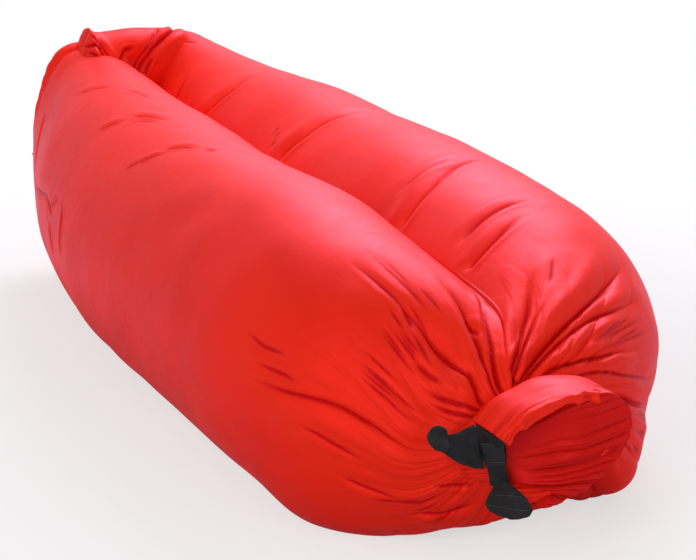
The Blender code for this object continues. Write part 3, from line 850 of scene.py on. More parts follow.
def along_profile(shares: Sequence[float], t: np.ndarray) -> np.ndarray:
    """Values of a share table at t, on a smooth curve through its entries.

    Args:
        shares: the table, one entry for each station.
        t: shares along the chamber.

    Returns:
        The values.
    """
    table = np.asarray(shares, float)
    slopes = np.gradient(table, STATION_SHARES)
    i = np.clip(np.searchsorted(STATION_SHARES, t) - 1, 0, len(table) - 2)
    step = STATION_SHARES[i + 1] - STATION_SHARES[i]
    u = (t - STATION_SHARES[i]) / step
    start, end = table[i], table[i + 1]
    rise, fall = slopes[i] * step, slopes[i + 1] * step
    return (start + u * rise + u * u * (3 * (end - start) - 2 * rise - fall)
            + u ** 3 * (2 * (start - end) + rise + fall))


def resampled(points: np.ndarray, places: np.ndarray, wanted: np.ndarray) -> np.ndarray:
    """A line's points at other places along it."""
    return np.stack([np.interp(wanted, places, column) for column in points.T], -1)


def rounded(points: Sequence[Sequence[float]], spans: int = 40, window: int = 25) -> np.ndarray:
    """A line's points closely spaced, with its corners rounded.

    Args:
        points: the line's corners.
        spans: how many steps each part of it gets.
        window: how many of the new points a corner is rounded over.

    Returns:
        The new points.
    """
    rough = np.array(points, float)
    parts = len(rough) - 1
    fine = resampled(rough, np.arange(parts + 1), np.linspace(0, parts, spans * parts + 1))
    weights = np.hanning(window) / np.hanning(window).sum()
    padded = np.pad(fine, ((window // 2, window // 2), (0, 0)), "edge")
    return np.stack([np.convolve(column, weights, "valid") for column in padded.T], -1)


def spaced_line(points: np.ndarray, spacing: float = 0.0022) -> np.ndarray:
    """Points of a line in space at an even spacing."""
    steps = lengths_along(points)
    return resampled(points, steps, np.linspace(0, steps[-1], max(int(steps[-1] / spacing), 3)))


def lengths_along(points: np.ndarray) -> np.ndarray:
    """How far along a line each of its points is."""
    return np.r_[0, np.cumsum(np.linalg.norm(np.diff(points, axis=0), axis=1))]


@dataclass
class Assembly:
    """A group of pieces that share the finishes.

    Attributes:
        finishes: the materials.
    """

    finishes: Finishes


@dataclass
class Cloth(Assembly):
    """An assembly whose cloth has surface coordinates for its swells and creases."""

    def spot(self, first: np.ndarray, second: np.ndarray) -> np.ndarray:
        """Points of the plain cloth, by its two surface coordinates."""
        raise NotImplementedError

    def press(self, lattice: Lattice, away: np.ndarray, push: np.ndarray, fold: np.ndarray,
              swells: Sequence[Swell], creases: Sequence[Crease]) -> None:
        """Adds swells and creases to a field of displacements.

        Args:
            lattice: the plain cloth.
            away: directions out of it.
            push: the displacements, changed in place.
            fold: how much painted shade each point gets in a fold, changed in place.
            swells: the swells, placed by surface coordinates.
            creases: the creases, with paths in the same.
        """
        normals = lattice.normals(away)
        for swell in swells:
            middle = self.spot(*(np.array(v) for v in swell.place))
            swell.press(lattice.points, middle, push)
        for crease in creases:
            line = spaced_line(self.spot(*rounded(crease.path).T))
            crease.press(lattice.points, normals, line, push, fold)


@dataclass
class Chamber(Cloth):
    """One long air chamber: its shell of satin cloth and the film bladder in it.

    Attributes:
        side: which of the two it is.
        half_width: half its width where it is widest.
        settle_depth: how far the ground presses it flat.
        seam_height: the head seam's height over the ground.
        height: its top over the ground.
        spread: its middle beside the lounger's, where it is widest.
        gap: half the gap between the chambers.
        rows: how many rings the shell has.
        columns: how many points each ring's arc has.
        wall_columns: how many points its flat inner wall has.
        girth: the arc's flat length.
        softness: how far the cloth swells and sinks between its folds.
        unevenness: how far it does so over short distances.
        drawn: how far the neck's cloth runs on under the roll.
        drawn_reach: the share of the chamber over which its neck is drawn there.
        hem: how wide the neck's last edge is, as a share of the neck.
        bladder_inset: how far inside the shell the bladder lies.
    """

    side: Side
    half_width: float = 0.218
    settle_depth: float = 0.010
    seam_height: float = 0.2392
    height: float = 0.460
    spread: float = 0.172
    gap: float = 0.0013
    rows: int = 620
    columns: int = 400
    wall_columns: int = 12
    girth: float = 1.42
    softness: float = 0.0030
    unevenness: float = 0.0006
    drawn: float = 0.024
    drawn_reach: float = 0.085
    hem: float = 0.90
    bladder_inset: float = 0.040

    def __post_init__(self) -> None:
        """Reads the chamber's ends from the frame."""
        low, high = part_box("shell_right")
        self.neck_y, self.head_y = low.y, high.y

    def section(self, t: np.ndarray) -> tuple[np.ndarray, np.ndarray, np.ndarray, np.ndarray]:
        """The chamber's cross-section at t.

        Args:
            t: shares along the chamber.

        Returns:
            Centre x, half-width, centre z and half-height.
        """
        centre = self.spread * along_profile(CENTRE_SHARES, t)
        half_width = mix(NECK_HALF_WIDTH, self.half_width, along_profile(WIDTH_SHARES, t))
        past = t > STATION_SHARES[len(STATION_SHARES) // 2]
        narrow_top = np.where(past, self.seam_height, NECK_HEIGHT + NECK_HALF_HEIGHT)
        narrow_low = np.where(past, self.seam_height, NECK_HEIGHT - NECK_HALF_HEIGHT)
        top = mix(narrow_top, self.height, along_profile(TOP_SHARES, t))
        low = mix(narrow_low, -self.settle_depth, along_profile(BOTTOM_SHARES, t))
        return centre, half_width, (top + low) / 2, (top - low) / 2

    def spot(self, t: np.ndarray, degrees: np.ndarray) -> np.ndarray:
        """Points on the plain surface, by share along and angle round.

        Args:
            t: shares along the chamber.
            degrees: angles from the outer side over the top.

        Returns:
            The points, with the side's sign.
        """
        centre, half_width, height, half_height = self.section(np.clip(t, 0, 1))
        angle = np.radians(degrees)
        x = np.maximum(centre + half_width * np.cos(angle), self.gap)
        z = np.maximum(height + half_height * np.sin(angle), 0)
        y = mix(self.neck_y, self.head_y, t)
        return np.stack([self.side.value * x, y, z], -1)

    def skin(self, rows: int, columns: int, wall_columns: int, inset: float = 0.0,
             start: float = 0.0, end: float = 1.0) -> tuple[Lattice, np.ndarray, np.ndarray]:
        """The chamber's plain skin as a lattice of closed rings, closest at its two ends.

        Args:
            rows: how many rings.
            columns: how many points on each arc.
            wall_columns: how many on each flat inner wall.
            inset: how far inside the chamber it lies.
            start: the first ring's share along.
            end: the last ring's.

        Returns:
            The lattice, and each point's share round the arc and along the chamber.
        """
        even = np.linspace(0, 1, rows)
        t = mix(start, end, 1.25 * even ** 1.5 - 0.25 * even ** 4)
        centre, half_width, height, half_height = (v[:, None] for v in self.section(t))
        half_width, half_height = half_width - inset, half_height - inset
        wall_x = self.gap + inset * 0.3
        reach = np.arccos(np.clip((wall_x - centre) / half_width, -1, 1))
        s = np.linspace(0, 1, columns)[None, :]
        angle = mix(-reach, reach, s)
        x = np.maximum(centre + half_width * np.cos(angle), wall_x)
        z = np.maximum(height + half_height * np.sin(angle), inset * 0.3)
        share = (np.arange(1, wall_columns + 1) / (wall_columns + 1))[None, :]
        wall_z = mix(z[:, -1:], z[:, :1], share)
        x = np.hstack([x, np.full_like(wall_z, wall_x)])
        z = np.hstack([z, wall_z])
        y = np.repeat(mix(self.neck_y, self.head_y, t)[:, None], x.shape[1], 1)
        points = np.stack([self.side.value * x, y, z], -1)
        around = np.hstack([np.repeat(s, rows, 0), np.repeat(1 + share * 0.12, rows, 0)])
        wall_across = self.girth + np.linspace(0.02, 0.16, wall_columns + 1)
        across = np.r_[np.linspace(0, self.girth, columns), wall_across]
        lattice = Lattice(points, True, across, mix(self.neck_y, self.head_y, t))
        return lattice, around, np.repeat(t[:, None], x.shape[1], 1)

    def fans(self) -> list[PleatFan]:
        """The pleats at the neck."""
        odd = 7 if self.side is Side.NEAR else 19
        return [
            PleatFan(6, 0.0100, 0.21, odd, 0.55), PleatFan(13, 0.0060, 0.12, odd + 1, 0.6),
            PleatFan(27, 0.0042, 0.070, odd + 2, 0.7), PleatFan(51, 0.0020, 0.036, odd + 3, 0.8),
        ]

    def draw_to_roll(self, points: np.ndarray, along: np.ndarray) -> None:
        """Draws the neck forward under the roll's rear edge, and turns it in line with the hoop.

        Args:
            points: the skin's points, changed in place.
            along: each point's share along the chamber.
        """
        share = np.clip(1 - along / self.drawn_reach, 0, 1) ** 2.4
        turn = MOUTH_TILT * share
        x, z = points[..., 0].copy(), points[..., 2] - NECK_HEIGHT
        points[..., 0] = x * np.cos(turn) - z * np.sin(turn) + MOUTH_OFFSET * share
        points[..., 2] = z * np.cos(turn) + x * np.sin(turn) + NECK_HEIGHT
        points[..., 1] -= self.drawn * share
        whole = smooth_step(0, 0.004, along)
        for axis, middle in ((0, MOUTH_OFFSET), (2, NECK_HEIGHT)):
            value = points[..., axis]
            points[..., axis] = mix(middle + (value - middle) * self.hem, value, whole)

    def shape(self, lattice: Lattice, around: np.ndarray, along: np.ndarray) -> None:
        """Presses the pleats, creases and softness into the skin.

        Args:
            lattice: the plain skin, changed in place.
            around: each point's share round the arc.
            along: each point's share along the chamber.
        """
        points = lattice.points
        outward = points - points.mean(1, keepdims=True)
        push, fold = np.zeros(points.shape[:2]), np.zeros(points.shape[:2])
        for fan in self.fans():
            fan.press(around, along, push, fold)
        for fan in (PleatFan(19, 0.0045, 0.050, 31), PleatFan(41, 0.0022, 0.026, 32)):
            fan.press(around, 1 - along, push, fold)
        near = self.side is Side.NEAR
        creases = list(NEAR_CREASES if near else FAR_CREASES)
        for cluster in NEAR_CLUSTERS if near else FAR_CLUSTERS:
            creases += cluster.creases()
        self.press(lattice, outward, push, fold, NEAR_SWELLS if near else FAR_SWELLS, creases)
        side = self.side.value
        soft = Ripples(5 + side, 0.36).at(points)
        small = Ripples(11 + side, 0.10).at(points)
        calm = smooth_step(0.02, 0.12, along) * smooth_step(0.0, 0.06, 1 - along)
        push += (soft * self.softness + small * self.unevenness) * calm
        self.draw_to_roll(points, along)
        tight = np.clip(1 - (around - 1) / 0.02, 0, 1)
        ends = smooth_step(-0.004, 0.006, along) * smooth_step(0, 0.012, 1 - along)
        push *= tight * mix(0.35, 1.0, ends)
        moved = points + lattice.normals(outward) * push[..., None]
        held = np.maximum(side * moved[..., 0], self.gap * 0.5)
        moved[..., 0] = mix(moved[..., 0], side * held, smooth_step(0.070, 0.085, along))
        moved[..., 1] = np.clip(moved[..., 1], self.neck_y - self.drawn, self.head_y + 0.002)
        moved[..., 2] = np.maximum(moved[..., 2], 0)
        lattice.points = moved
        at_neck = np.clip(1 - along / 0.16, 0, 1) ** 2
        gather = at_neck + np.clip(1 - (1 - along) / 0.05, 0, 1) * 0.6
        # The fold mark is painted shade in the creases and pleat valleys.
        lattice.marks = {"fold": fold, "gather": np.clip(gather, 0, 1)}

    def build(self) -> None:
        """Makes the shell and its bladder."""
        flip = self.side is Side.NEAR
        name = "left" if flip else "right"
        lattice, around, along = self.skin(self.rows, self.columns, self.wall_columns)
        lattice.ends = (False, True)
        self.shape(lattice, around, along)
        shell = lattice.build("chamber_shell_" + name, self.finishes.shell, flip=flip)
        settle(shell, Body.LOUNGER, "shell_cloth", "shell_" + name)
        inner, _, _ = self.skin(90, 70, 6, inset=self.bladder_inset, start=0.09, end=0.98)
        inner.ends = (True, True)
        bladder = inner.build("air_bladder_" + name, self.finishes.film, flip=flip)
        turn_outward(bladder)
        settle(bladder, Body.LOUNGER, "liner_film", "liner_" + name)


FAR_SWELLS = [
    Swell((0.070, -15), 0.078, -0.015),
    Swell((0.056, -52), 0.060, 0.023),
    Swell((0.020, -78), 0.075, -0.036),
    Swell((0.012, -105), 0.065, -0.026),
    Swell((0.010, 100), 0.040, 0.010),
    Swell((0.955, 112), 0.075, 0.024),
    Swell((0.93, 84), 0.080, 0.005),
    Swell((0.43, 96), 0.16, 0.005),
    Swell((0.67, 98), 0.15, 0.007),
    Swell((0.25, 92), 0.12, -0.005),
    Swell((0.055, -78), 0.055, -0.012),
]
FAR_CREASES = [
    Crease(((0.79, 146), (0.774, 134), (0.766, 122), (0.765, 114), (0.77, 104), (0.765, 94)),
           0.0085, 0.012, 0.5, 0.15, 0.45),
    Crease(((0.825, 146), (0.817, 137), (0.812, 131)), 0.004, 0.007, 0.4, 0.2, 0.6),
    Crease(((0.86, 142), (0.87, 128), (0.875, 118)), 0.003, 0.008, 0.4, 0.2, 0.6),
    Crease(((0.565, 146), (0.561, 132), (0.556, 122), (0.558, 112), (0.555, 99), (0.552, 84),
            (0.552, 60)), 0.0095, 0.013, 0.5, 0.15, 0.45),
    Crease(((0.6, 146), (0.596, 138)), 0.004, 0.006, 0.4, 0.2, 0.6),
    Crease(((0.27, 142), (0.278, 128), (0.289, 115), (0.298, 107), (0.31, 98), (0.322, 86),
            (0.325, 64)), 0.011, 0.012, 0.5, 0.15, 0.45),
    Crease(((0.318, 128), (0.321, 118), (0.325, 104), (0.33, 90)), 0.004, 0.008, 0.4),
    Crease(((0.172, 132), (0.185, 114), (0.19, 104), (0.195, 92), (0.198, 80)),
           0.0075, 0.009, 0.4, 0.3, 0.4),
    Crease(((0.138, 134), (0.142, 124), (0.149, 113), (0.159, 103), (0.172, 92)),
           0.0085, 0.009, 0.5, 0.15, 0.5),
    Crease(((0.95, 106), (0.935, 102), (0.922, 98)), 0.0034, 0.006, 0.4),
    Crease(((0, 97), (0.008, 97), (0.029, 103), (0.053, 106), (0.07, 106), (0.086, 102)),
           0.015, 0.009, 0.2, 0, 0.5, 1.6),
    Crease(((0, 91), (0.011, 95), (0.031, 96), (0.046, 93)), 0.011, 0.007, -0.3, 0, 0.6, 1.3),
    Crease(((0, 83), (0.007, 81), (0.018, 76), (0.034, 69), (0.062, 62), (0.122, 47)),
           0.016, 0.011, 0.3, 0, 0.45, 1.8),
    Crease(((0, 79), (0.01, 72), (0.022, 65), (0.042, 53), (0.072, 42), (0.082, 38)),
           0.014, 0.009, 0.3, 0, 0.5, 1.6),
    Crease(((0, 68), (0.006, 44), (0.012, 33), (0.03, 25), (0.04, 21)), 0.01, 0.007, 0.5, 0, 0.5),
    Crease(((0.096, 91), (0.083, 93), (0.055, 95)), 0.0022, 0.007, 0.3),
    Crease(((0, 0), (0.008, -8), (0.02, -11), (0.05, -13), (0.085, -12)),
           0.013, 0.014, 0.2, 0, 0.5, 1.3),
    Crease(((0, -40), (0.02, -62), (0.05, -66), (0.09, -62)), 0.011, 0.01, 0.3, 0, 0.5, 1.4),
    Crease(((0, 30), (0.015, 10), (0.04, 4), (0.09, 2)), 0.008, 0.01, 0.3, 0, 0.6, 1.5),
    Crease(((0.5, 14), (0.505, 36), (0.512, 58)), 0.0045, 0.009, 0.5),
    Crease(((0.31, 6), (0.32, 30), (0.325, 50)), 0.0045, 0.009, 0.5),
    Crease(((0.77, 16), (0.765, 40), (0.762, 60)), 0.005, 0.009, 0.5),
    Crease(((0.92, 50), (0.9, 30), (0.88, 8)), 0.005, 0.008, 0.5),
]
FAR_CLUSTERS = [
    WrinkleCluster((0.012, 40), (0.006, 9), (0.055, -9), 8, 91, 0.0012, 0.0050),
    WrinkleCluster((0.60, 133), (0.012, 5), (0.004, -12), 4, 94, 0.0016, 0.0050),
    WrinkleCluster((0.02, -25), (0.015, 12), (0.040, -4), 8, 95, 0.0020, 0.0060),
]
NEAR_SWELLS = [
    Swell((0.985, 64), 0.055, 0.013),
    Swell((0.88, 30), 0.10, -0.006),
    Swell((0.010, 74), 0.045, 0.012),
    Swell((0.020, 20), 0.050, 0.012),
    Swell((0.33, 96), 0.14, 0.006),
    Swell((0.52, 96), 0.16, -0.004),
    Swell((0.125, -56), 0.095, 0.024),
    Swell((0.045, -86), 0.060, -0.014),
]
NEAR_CREASES = [
    Crease(((0.826, 57), (0.819, 61), (0.802, 70), (0.779, 79), (0.77, 83)), 0.0024, 0.007, 0.5),
    Crease(((0.77, 82), (0.737, 90), (0.694, 93)), 0.0026, 0.006, 0.4),
    Crease(((0.672, 55), (0.664, 60), (0.654, 66), (0.643, 72)), 0.0046, 0.006, 0.8, 0.4, 0.5),
    Crease(((0.658, 72), (0.645, 77), (0.63, 81), (0.612, 85), (0.59, 86)),
           0.0056, 0.006, 0.8, 0.3, 0.6),
    Crease(((0.64, 69), (0.622, 77), (0.6, 81)), 0.0018, 0.005, 0.6),
    Crease(((0.522, 56), (0.516, 61), (0.51, 66), (0.5, 71)), 0.005, 0.005, 0.8, 0.3, 0.5),
    Crease(((0.516, 68), (0.508, 73), (0.496, 78), (0.472, 82)), 0.0056, 0.006, 0.8, 0.3, 0.5),
    Crease(((0.474, 82), (0.465, 84), (0.452, 86)), 0.0036, 0.004, 0.8),
    Crease(((0.535, 50), (0.528, 55), (0.52, 60)), 0.0024, 0.005, 0.6),
    Crease(((0, 63), (0.007, 74), (0.013, 80), (0.023, 77), (0.033, 75), (0.046, 76), (0.075, 76)),
           0.015, 0.014, -0.5, 0, 0.45, 1.2),
    Crease(((0.046, 71), (0.056, 73), (0.066, 75)), 0.004, 0.006, -0.5),
    Crease(((0, 78), (0.011, 90), (0.023, 95), (0.038, 98), (0.051, 101), (0.073, 104),
            (0.104, 108)), 0.011, 0.009, -0.4, 0, 0.5, 1.2),
    Crease(((0, 83), (0.012, 96), (0.023, 103), (0.043, 111), (0.078, 125), (0.11, 131)),
           0.015, 0.009, -0.4, 0, 0.45, 1.4),
    Crease(((0.03, 100), (0.037, 99), (0.046, 98)), 0.005, 0.005, -0.4),
    Crease(((0, 60), (0.006, 60), (0.014, 58), (0.026, 56)), 0.006, 0.006, -0.4, 0, 0.5),
    Crease(((0, 53), (0.007, 52), (0.018, 52)), 0.005, 0.005, -0.4, 0, 0.5),
    Crease(((0.036, 61), (0.024, 63), (0.015, 66)), 0.0034, 0.006, 0.5),
    Crease(((0.005, 17), (0.021, 22), (0.05, 19), (0.073, 15), (0.1, 12), (0.123, 11), (0.148, 11),
            ), 0.0085, 0.01, 0.85, 0.3, 0.3, 1),
    Crease(((0.081, 18), (0.098, 19), (0.12, 18), (0.143, 18)), 0.005, 0.008, 0.7, 0.4, 0.5),
    Crease(((0.1, 27), (0.13, 25), (0.16, 27)), 0.003, 0.008, 0.5),
    Crease(((0.06, -16), (0.041, -18), (0.02, -22)), 0.005, 0.009, 0.5),
    Crease(((0.03, -34), (0.016, -41), (0.006, -57)), 0.007, 0.009, 0.5),
    Crease(((0.01, -8), (0.005, -25), (0.002, -44)), 0.006, 0.007, 0.5),
    Crease(((0.087, 2), (0.057, 0), (0.032, 0)), 0.003, 0.009, 0.5),
    Crease(((0.85, 4), (0.8, 9), (0.756, 12), (0.7, 17)), 0.0055, 0.009, 0.6, 0.2, 0.4),
    Crease(((0.73, 15), (0.705, 12), (0.68, 9)), 0.0045, 0.005, 0.5),
    Crease(((0.69, 12), (0.675, 17), (0.66, 21)), 0.004, 0.005, 0.5),
    Crease(((0.645, 23), (0.632, 14), (0.63, 4), (0.634, -8)), 0.0045, 0.006, 0.5),
    Crease(((0.7, 8), (0.69, -2), (0.685, -12)), 0.004, 0.006, 0.5),
    Crease(((0.93, 40), (0.915, 20), (0.9, 0)), 0.005, 0.008, 0.5),
    Crease(((0.4, 128), (0.41, 116), (0.405, 104)), 0.004, 0.008, 0.5),
    Crease(((0.6, 132), (0.61, 120), (0.606, 108)), 0.004, 0.008, 0.5),
]
NEAR_CLUSTERS = [
    WrinkleCluster((0.050, 80), (0.020, 9), (0.075, 3), 9, 81, 0.0014, 0.0060),
    WrinkleCluster((0.030, 62), (0.014, 7), (0.050, 3), 8, 82, 0.0016, 0.0055),
    WrinkleCluster((0.020, 45), (0.010, 8), (0.050, -2), 7, 83, 0.0016, 0.0060),
    WrinkleCluster((0.695, 10), (0.020, 7), (0.022, 5), 6, 86, 0.0020, 0.0050),
    WrinkleCluster((0.010, -30), (0.008, 16), (0.035, -3), 7, 87, 0.0020, 0.0060),
]


# Head


@dataclass
class Head(Cloth):
    """The cross pillow over the chambers' head ends, and the bound seam behind it.

    Attributes:
        middle: the pillow's middle.
        half: its half sizes.
        ear_size: how full its left end is, which stands up as an ear.
        end_size: how full its right end is.
        ear_share: where the ear's peak is, as a share of the half-width.
        girth: the flat length round it.
        rows: how many rings the pillow has along its length.
        columns: how many points each has.
        gathers: how high the gathers at its ends stand.
        unevenness: how uneven its cloth is.
        back_bulge: how far its back may bulge past its half size.
        tape_width: the flat width round the binding.
        stitch_pitch: the length of a stitch and its gap.
        stitch_radius: the thread's radius.
        seam_inset: how far the stitches lie from the tape's edge.
    """

    middle: Place = (-0.015, 0.8687, 0.415)
    half: Place = (0.127, 0.066, 0.088)
    ear_size: float = 1.10
    end_size: float = 0.66
    ear_share: float = 0.80
    girth: float = 0.49
    rows: int = 240
    columns: int = 240
    gathers: float = 0.008
    unevenness: float = 0.0022
    back_bulge: float = 0.012
    tape_width: float = 0.034
    stitch_pitch: float = 0.0042
    stitch_radius: float = 0.00045
    seam_inset: float = 0.004

    def fullness(self, s: np.ndarray) -> np.ndarray:
        """How full the pillow is along its length, from -1 at the ear to 1.

        Args:
            s: shares of the half-width.

        Returns:
            The factor on its section.
        """
        rise = smooth_step(0.60, self.ear_share, -s)
        fall = 1 - 0.42 * smooth_step(self.ear_share, 1.0, -s)
        dip = 1 - 0.035 * np.exp(-((s + 0.70) / 0.07) ** 2)
        left = dip * mix(1.0, self.ear_size * fall, rise)
        right = mix(1.0, self.end_size, np.clip(s, 0, 1) ** 4)
        round_off = np.sqrt(np.clip(1 - np.abs(s) ** 40, 0, 1))
        return np.where(s < 0, left, right) * round_off

    def spot(self, s: np.ndarray, degrees: np.ndarray) -> np.ndarray:
        """Points on the pillow's plain surface.

        Args:
            s: shares of the half-width.
            degrees: angles round it, from the back over the top.

        Returns:
            The points.
        """
        size = self.fullness(s)
        angle = np.radians(degrees)
        x = self.middle[0] + self.half[0] * s
        y = self.middle[1] + self.half[1] * size * np.cos(angle)
        z = self.middle[2] + self.half[2] * size * np.sin(angle)
        return np.stack(np.broadcast_arrays(x, y, z), -1)

    def pillow(self) -> None:
        """Makes the pillow: crowned, drawn in at both ends, with its ear, pocket and folds."""
        s = np.linspace(-1, 1, self.rows)[:, None]
        degrees = np.linspace(0, 360, self.columns, endpoint=False)[None, :]
        points = self.spot(s, degrees)
        across = np.linspace(0, self.girth, self.columns + 1)
        lattice = Lattice(points, True, across, self.half[0] * s[:, 0], ends=(True, True))
        outward = points - points.mean(1, keepdims=True)
        ends = np.clip(np.abs(s) ** 5, 0, 1)
        ridge = np.abs(np.sin(np.radians(degrees) * 5.5 + 0.4 * np.sin(s * 5))) ** 0.6
        push = self.gathers * (ridge - 0.75) * ends
        # Painted shade in the gathers' valleys at both ends.
        fold = np.clip(1 - ridge * 2, 0, 1) * ends
        self.press(lattice, outward, push, fold, PILLOW_SWELLS, PILLOW_CREASES)
        push += Ripples(41, 0.09).at(points) * self.unevenness
        moved = points + lattice.normals(outward) * push[..., None]
        back = self.middle[1] + self.half[1] + self.back_bulge
        moved[..., 1] = np.minimum(moved[..., 1], back)
        lattice.points = moved
        lattice.marks = {"fold": fold, "gather": np.clip(ends * 0.8 + 0 * degrees, 0, 1)}
        pillow = lattice.build("head_pillow_cover", self.finishes.pillow)
        turn_outward(pillow)
        settle(pillow, Body.LOUNGER, "pillow_cloth", "head_pillow")

    def binding(self) -> None:
        """Makes the bound edge of the head seam, puckered along its length, with its stitches."""
        low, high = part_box("head_binding")
        x = np.linspace(low.x, high.x, 240)
        outline = ((-1, -1), (-1, -0.4), (-1, 0.4), (-1, 1), (-0.2, 1), (0.6, 1), (0.95, 0.6),
                   (1, 0), (0.95, -0.6), (0.6, -1), (-0.2, -1))
        middle_y, half_y = (low.y + high.y) / 2, (high.y - low.y) / 2
        middle_z, half_z = (low.z + high.z) / 2, (high.z - low.z) / 2
        pucker = np.sin(x * 300) * 0.35 + np.sin(x * 117 + 1) * 0.5
        points = np.array([[
            (place, middle_y + half_y * a, middle_z + half_z * (b * 0.85 + 0.5 * w))
            for a, b in outline] for place, w in zip(x, pucker)])
        across = np.linspace(0, self.tape_width, len(outline) + 1)
        lattice = Lattice(points, True, across, x, ends=(True, True))
        tape = lattice.build("head_binding_tape", self.finishes.tape)
        turn_outward(tape)
        settle(tape, Body.LOUNGER, "binding_tape", "head_binding")
        height = middle_z + half_z * (0.9 + 0.5 * pucker)
        row = np.stack([x, np.full_like(x, low.y + self.seam_inset), height], -1)
        thread = StitchRow("head_binding_stitches", self.stitch_pitch, self.stitch_radius)
        settle(thread.build(row, self.finishes.red_thread), Body.LOUNGER, "binding_tape")

    def build(self) -> None:
        """Makes the head's pieces."""
        self.pillow()
        self.binding()


PILLOW_SWELLS = [
    Swell((-0.20, 152), 0.020, -0.013),
    Swell((-0.02, 166), 0.016, -0.006),
    Swell((0.55, 120), 0.032, 0.006),
    Swell((-0.30, 100), 0.040, 0.003),
]
PILLOW_CREASES = [
    Crease(((0.66, 80), (0.6, 108), (0.36, 125), (0.13, 141), (-0.05, 159), (-0.2, 178)),
           0.008, 0.0065, 0.5, 0, 0),
    Crease(((0.36, 84), (0.3, 108), (0.12, 132), (-0.09, 151), (-0.29, 176)),
           0.005, 0.0055, -0.4, 0.2, 0),
    Crease(((-0.07, 142), (-0.15, 136), (-0.33, 138), (-0.47, 158), (-0.5, 176)),
           0.005, 0.0045, 0.6, 0.3, 0.1),
    Crease(((-0.74, 78), (-0.74, 113), (-0.68, 134), (-0.58, 156)), 0.006, 0.0045, 0.4, 0.1, 0.1),
    Crease(((-0.94, 96), (-0.9, 120), (-0.76, 139), (-0.57, 160)), 0.006, 0.004, -0.4, 0.2, 0.1),
    Crease(((-0.84, 104), (-0.8, 122), (-0.7, 146)), 0.003, 0.003, 0.3, 0.3, 0.3),
    Crease(((-0.96, 130), (-0.9, 150), (-0.84, 172)), 0.004, 0.003, 0.3, 0.2, 0.2),
    Crease(((-0.93, 128), (-0.84, 146), (-0.76, 168)), 0.004, 0.003, 0.3, 0.2, 0.2),
    Crease(((0.15, 150), (0.02, 165), (-0.05, 180)), 0.003, 0.003, 0.3, 0.3, 0.2),
    Crease(((-0.6, 60), (-0.3, 40), (0.1, 30)), 0.0035, 0.007, 0.3),
]


# Repeated stitches, made by geometry nodes


@dataclass
class StitchRow:
    """A row of sewn stitches along a line.

    Attributes:
        name: the piece's name.
        pitch: the length of a stitch and its gap.
        radius: the thread's radius.
        fill: the share of the pitch that the stitch takes.
        sides: how many sides the thread has.
    """

    name: str
    pitch: float
    radius: float
    fill: float = 0.72
    sides: int = 6

    def tree(self, material: bpy.types.Material) -> tuple[bpy.types.NodeTree, dict[str, str]]:
        """Builds the geometry nodes: the line is cut at the pitch and each cut gets a stitch.

        Args:
            material: the thread's finish.

        Returns:
            The tree, and its inputs' identifiers by name.
        """
        tree = bpy.data.node_groups.new(self.name + "_tree", "GeometryNodeTree")
        tree.interface.new_socket("Geometry", in_out="INPUT", socket_type="NodeSocketGeometry")
        names = {}
        for label in ("Pitch", "Radius", "Stitch length"):
            socket = tree.interface.new_socket(label, in_out="INPUT",
                                               socket_type="NodeSocketFloat")
            names[label] = socket.identifier
        tree.interface.new_socket("Geometry", in_out="OUTPUT", socket_type="NodeSocketGeometry")
        kit = NodeKit(tree)
        group = kit.node("NodeGroupInput")
        line = kit.term("GeometryNodeMeshToCurve", 0, None, {0: kit.outlet(group, "Geometry")})
        cut = kit.term("GeometryNodeResampleCurve", 0, {"mode": "LENGTH"},
                       {"Curve": line, "Length": kit.outlet(group, "Pitch")})
        thread = kit.term("GeometryNodeMeshCylinder", 0, None, {
            "Vertices": self.sides, "Radius": kit.outlet(group, "Radius"),
            "Depth": kit.outlet(group, "Stitch length")})
        tangent = kit.term("GeometryNodeInputTangent", 0)
        turn = kit.term("FunctionNodeAlignRotationToVector", 0, {"axis": "Z"}, {"Vector": tangent})
        placed = kit.term("GeometryNodeInstanceOnPoints", 0, None,
                          {"Points": cut, "Instance": thread, "Rotation": turn})
        real = kit.term("GeometryNodeRealizeInstances", 0, None, {0: placed})
        painted = kit.term("GeometryNodeSetMaterial", 0, None,
                           {"Geometry": real, "Material": material})
        kit.node("NodeGroupOutput", None, {"Geometry": painted})
        return tree, names

    def build(self, points: np.ndarray, material: bpy.types.Material) -> bpy.types.Object:
        """Sews the row.

        Args:
            points: the line that it follows.
            material: the thread's finish.

        Returns:
            The stitches as one plain mesh.
        """
        mesh = bpy.data.meshes.new(self.name + "_line")
        edges = [(i, i + 1) for i in range(len(points) - 1)]
        mesh.from_pydata(points.tolist(), edges, [])
        guide = shown(self.name + "_line", mesh)
        tree, names = self.tree(material)
        modifier = guide.modifiers.new("stitches", "NODES")
        modifier.node_group = tree
        for label, value in (("Pitch", self.pitch), ("Radius", self.radius),
                             ("Stitch length", self.pitch * self.fill)):
            modifier[names[label]] = value
        return plain_mesh(guide, self.name)


def plain_mesh(guide: bpy.types.Object, name: str) -> bpy.types.Object:
    """Turns an object with live geometry nodes into a plain mesh object.

    Args:
        guide: the object, which is removed.
        name: the new object's name.

    Returns:
        The plain mesh object.
    """
    bpy.context.view_layer.update()
    graph = bpy.context.evaluated_depsgraph_get()
    mesh = bpy.data.meshes.new_from_object(guide.evaluated_get(graph))
    mesh.name = name
    made = shown(name, mesh)
    bpy.data.objects.remove(guide, do_unlink=True)
    return made


# Rolled mouth


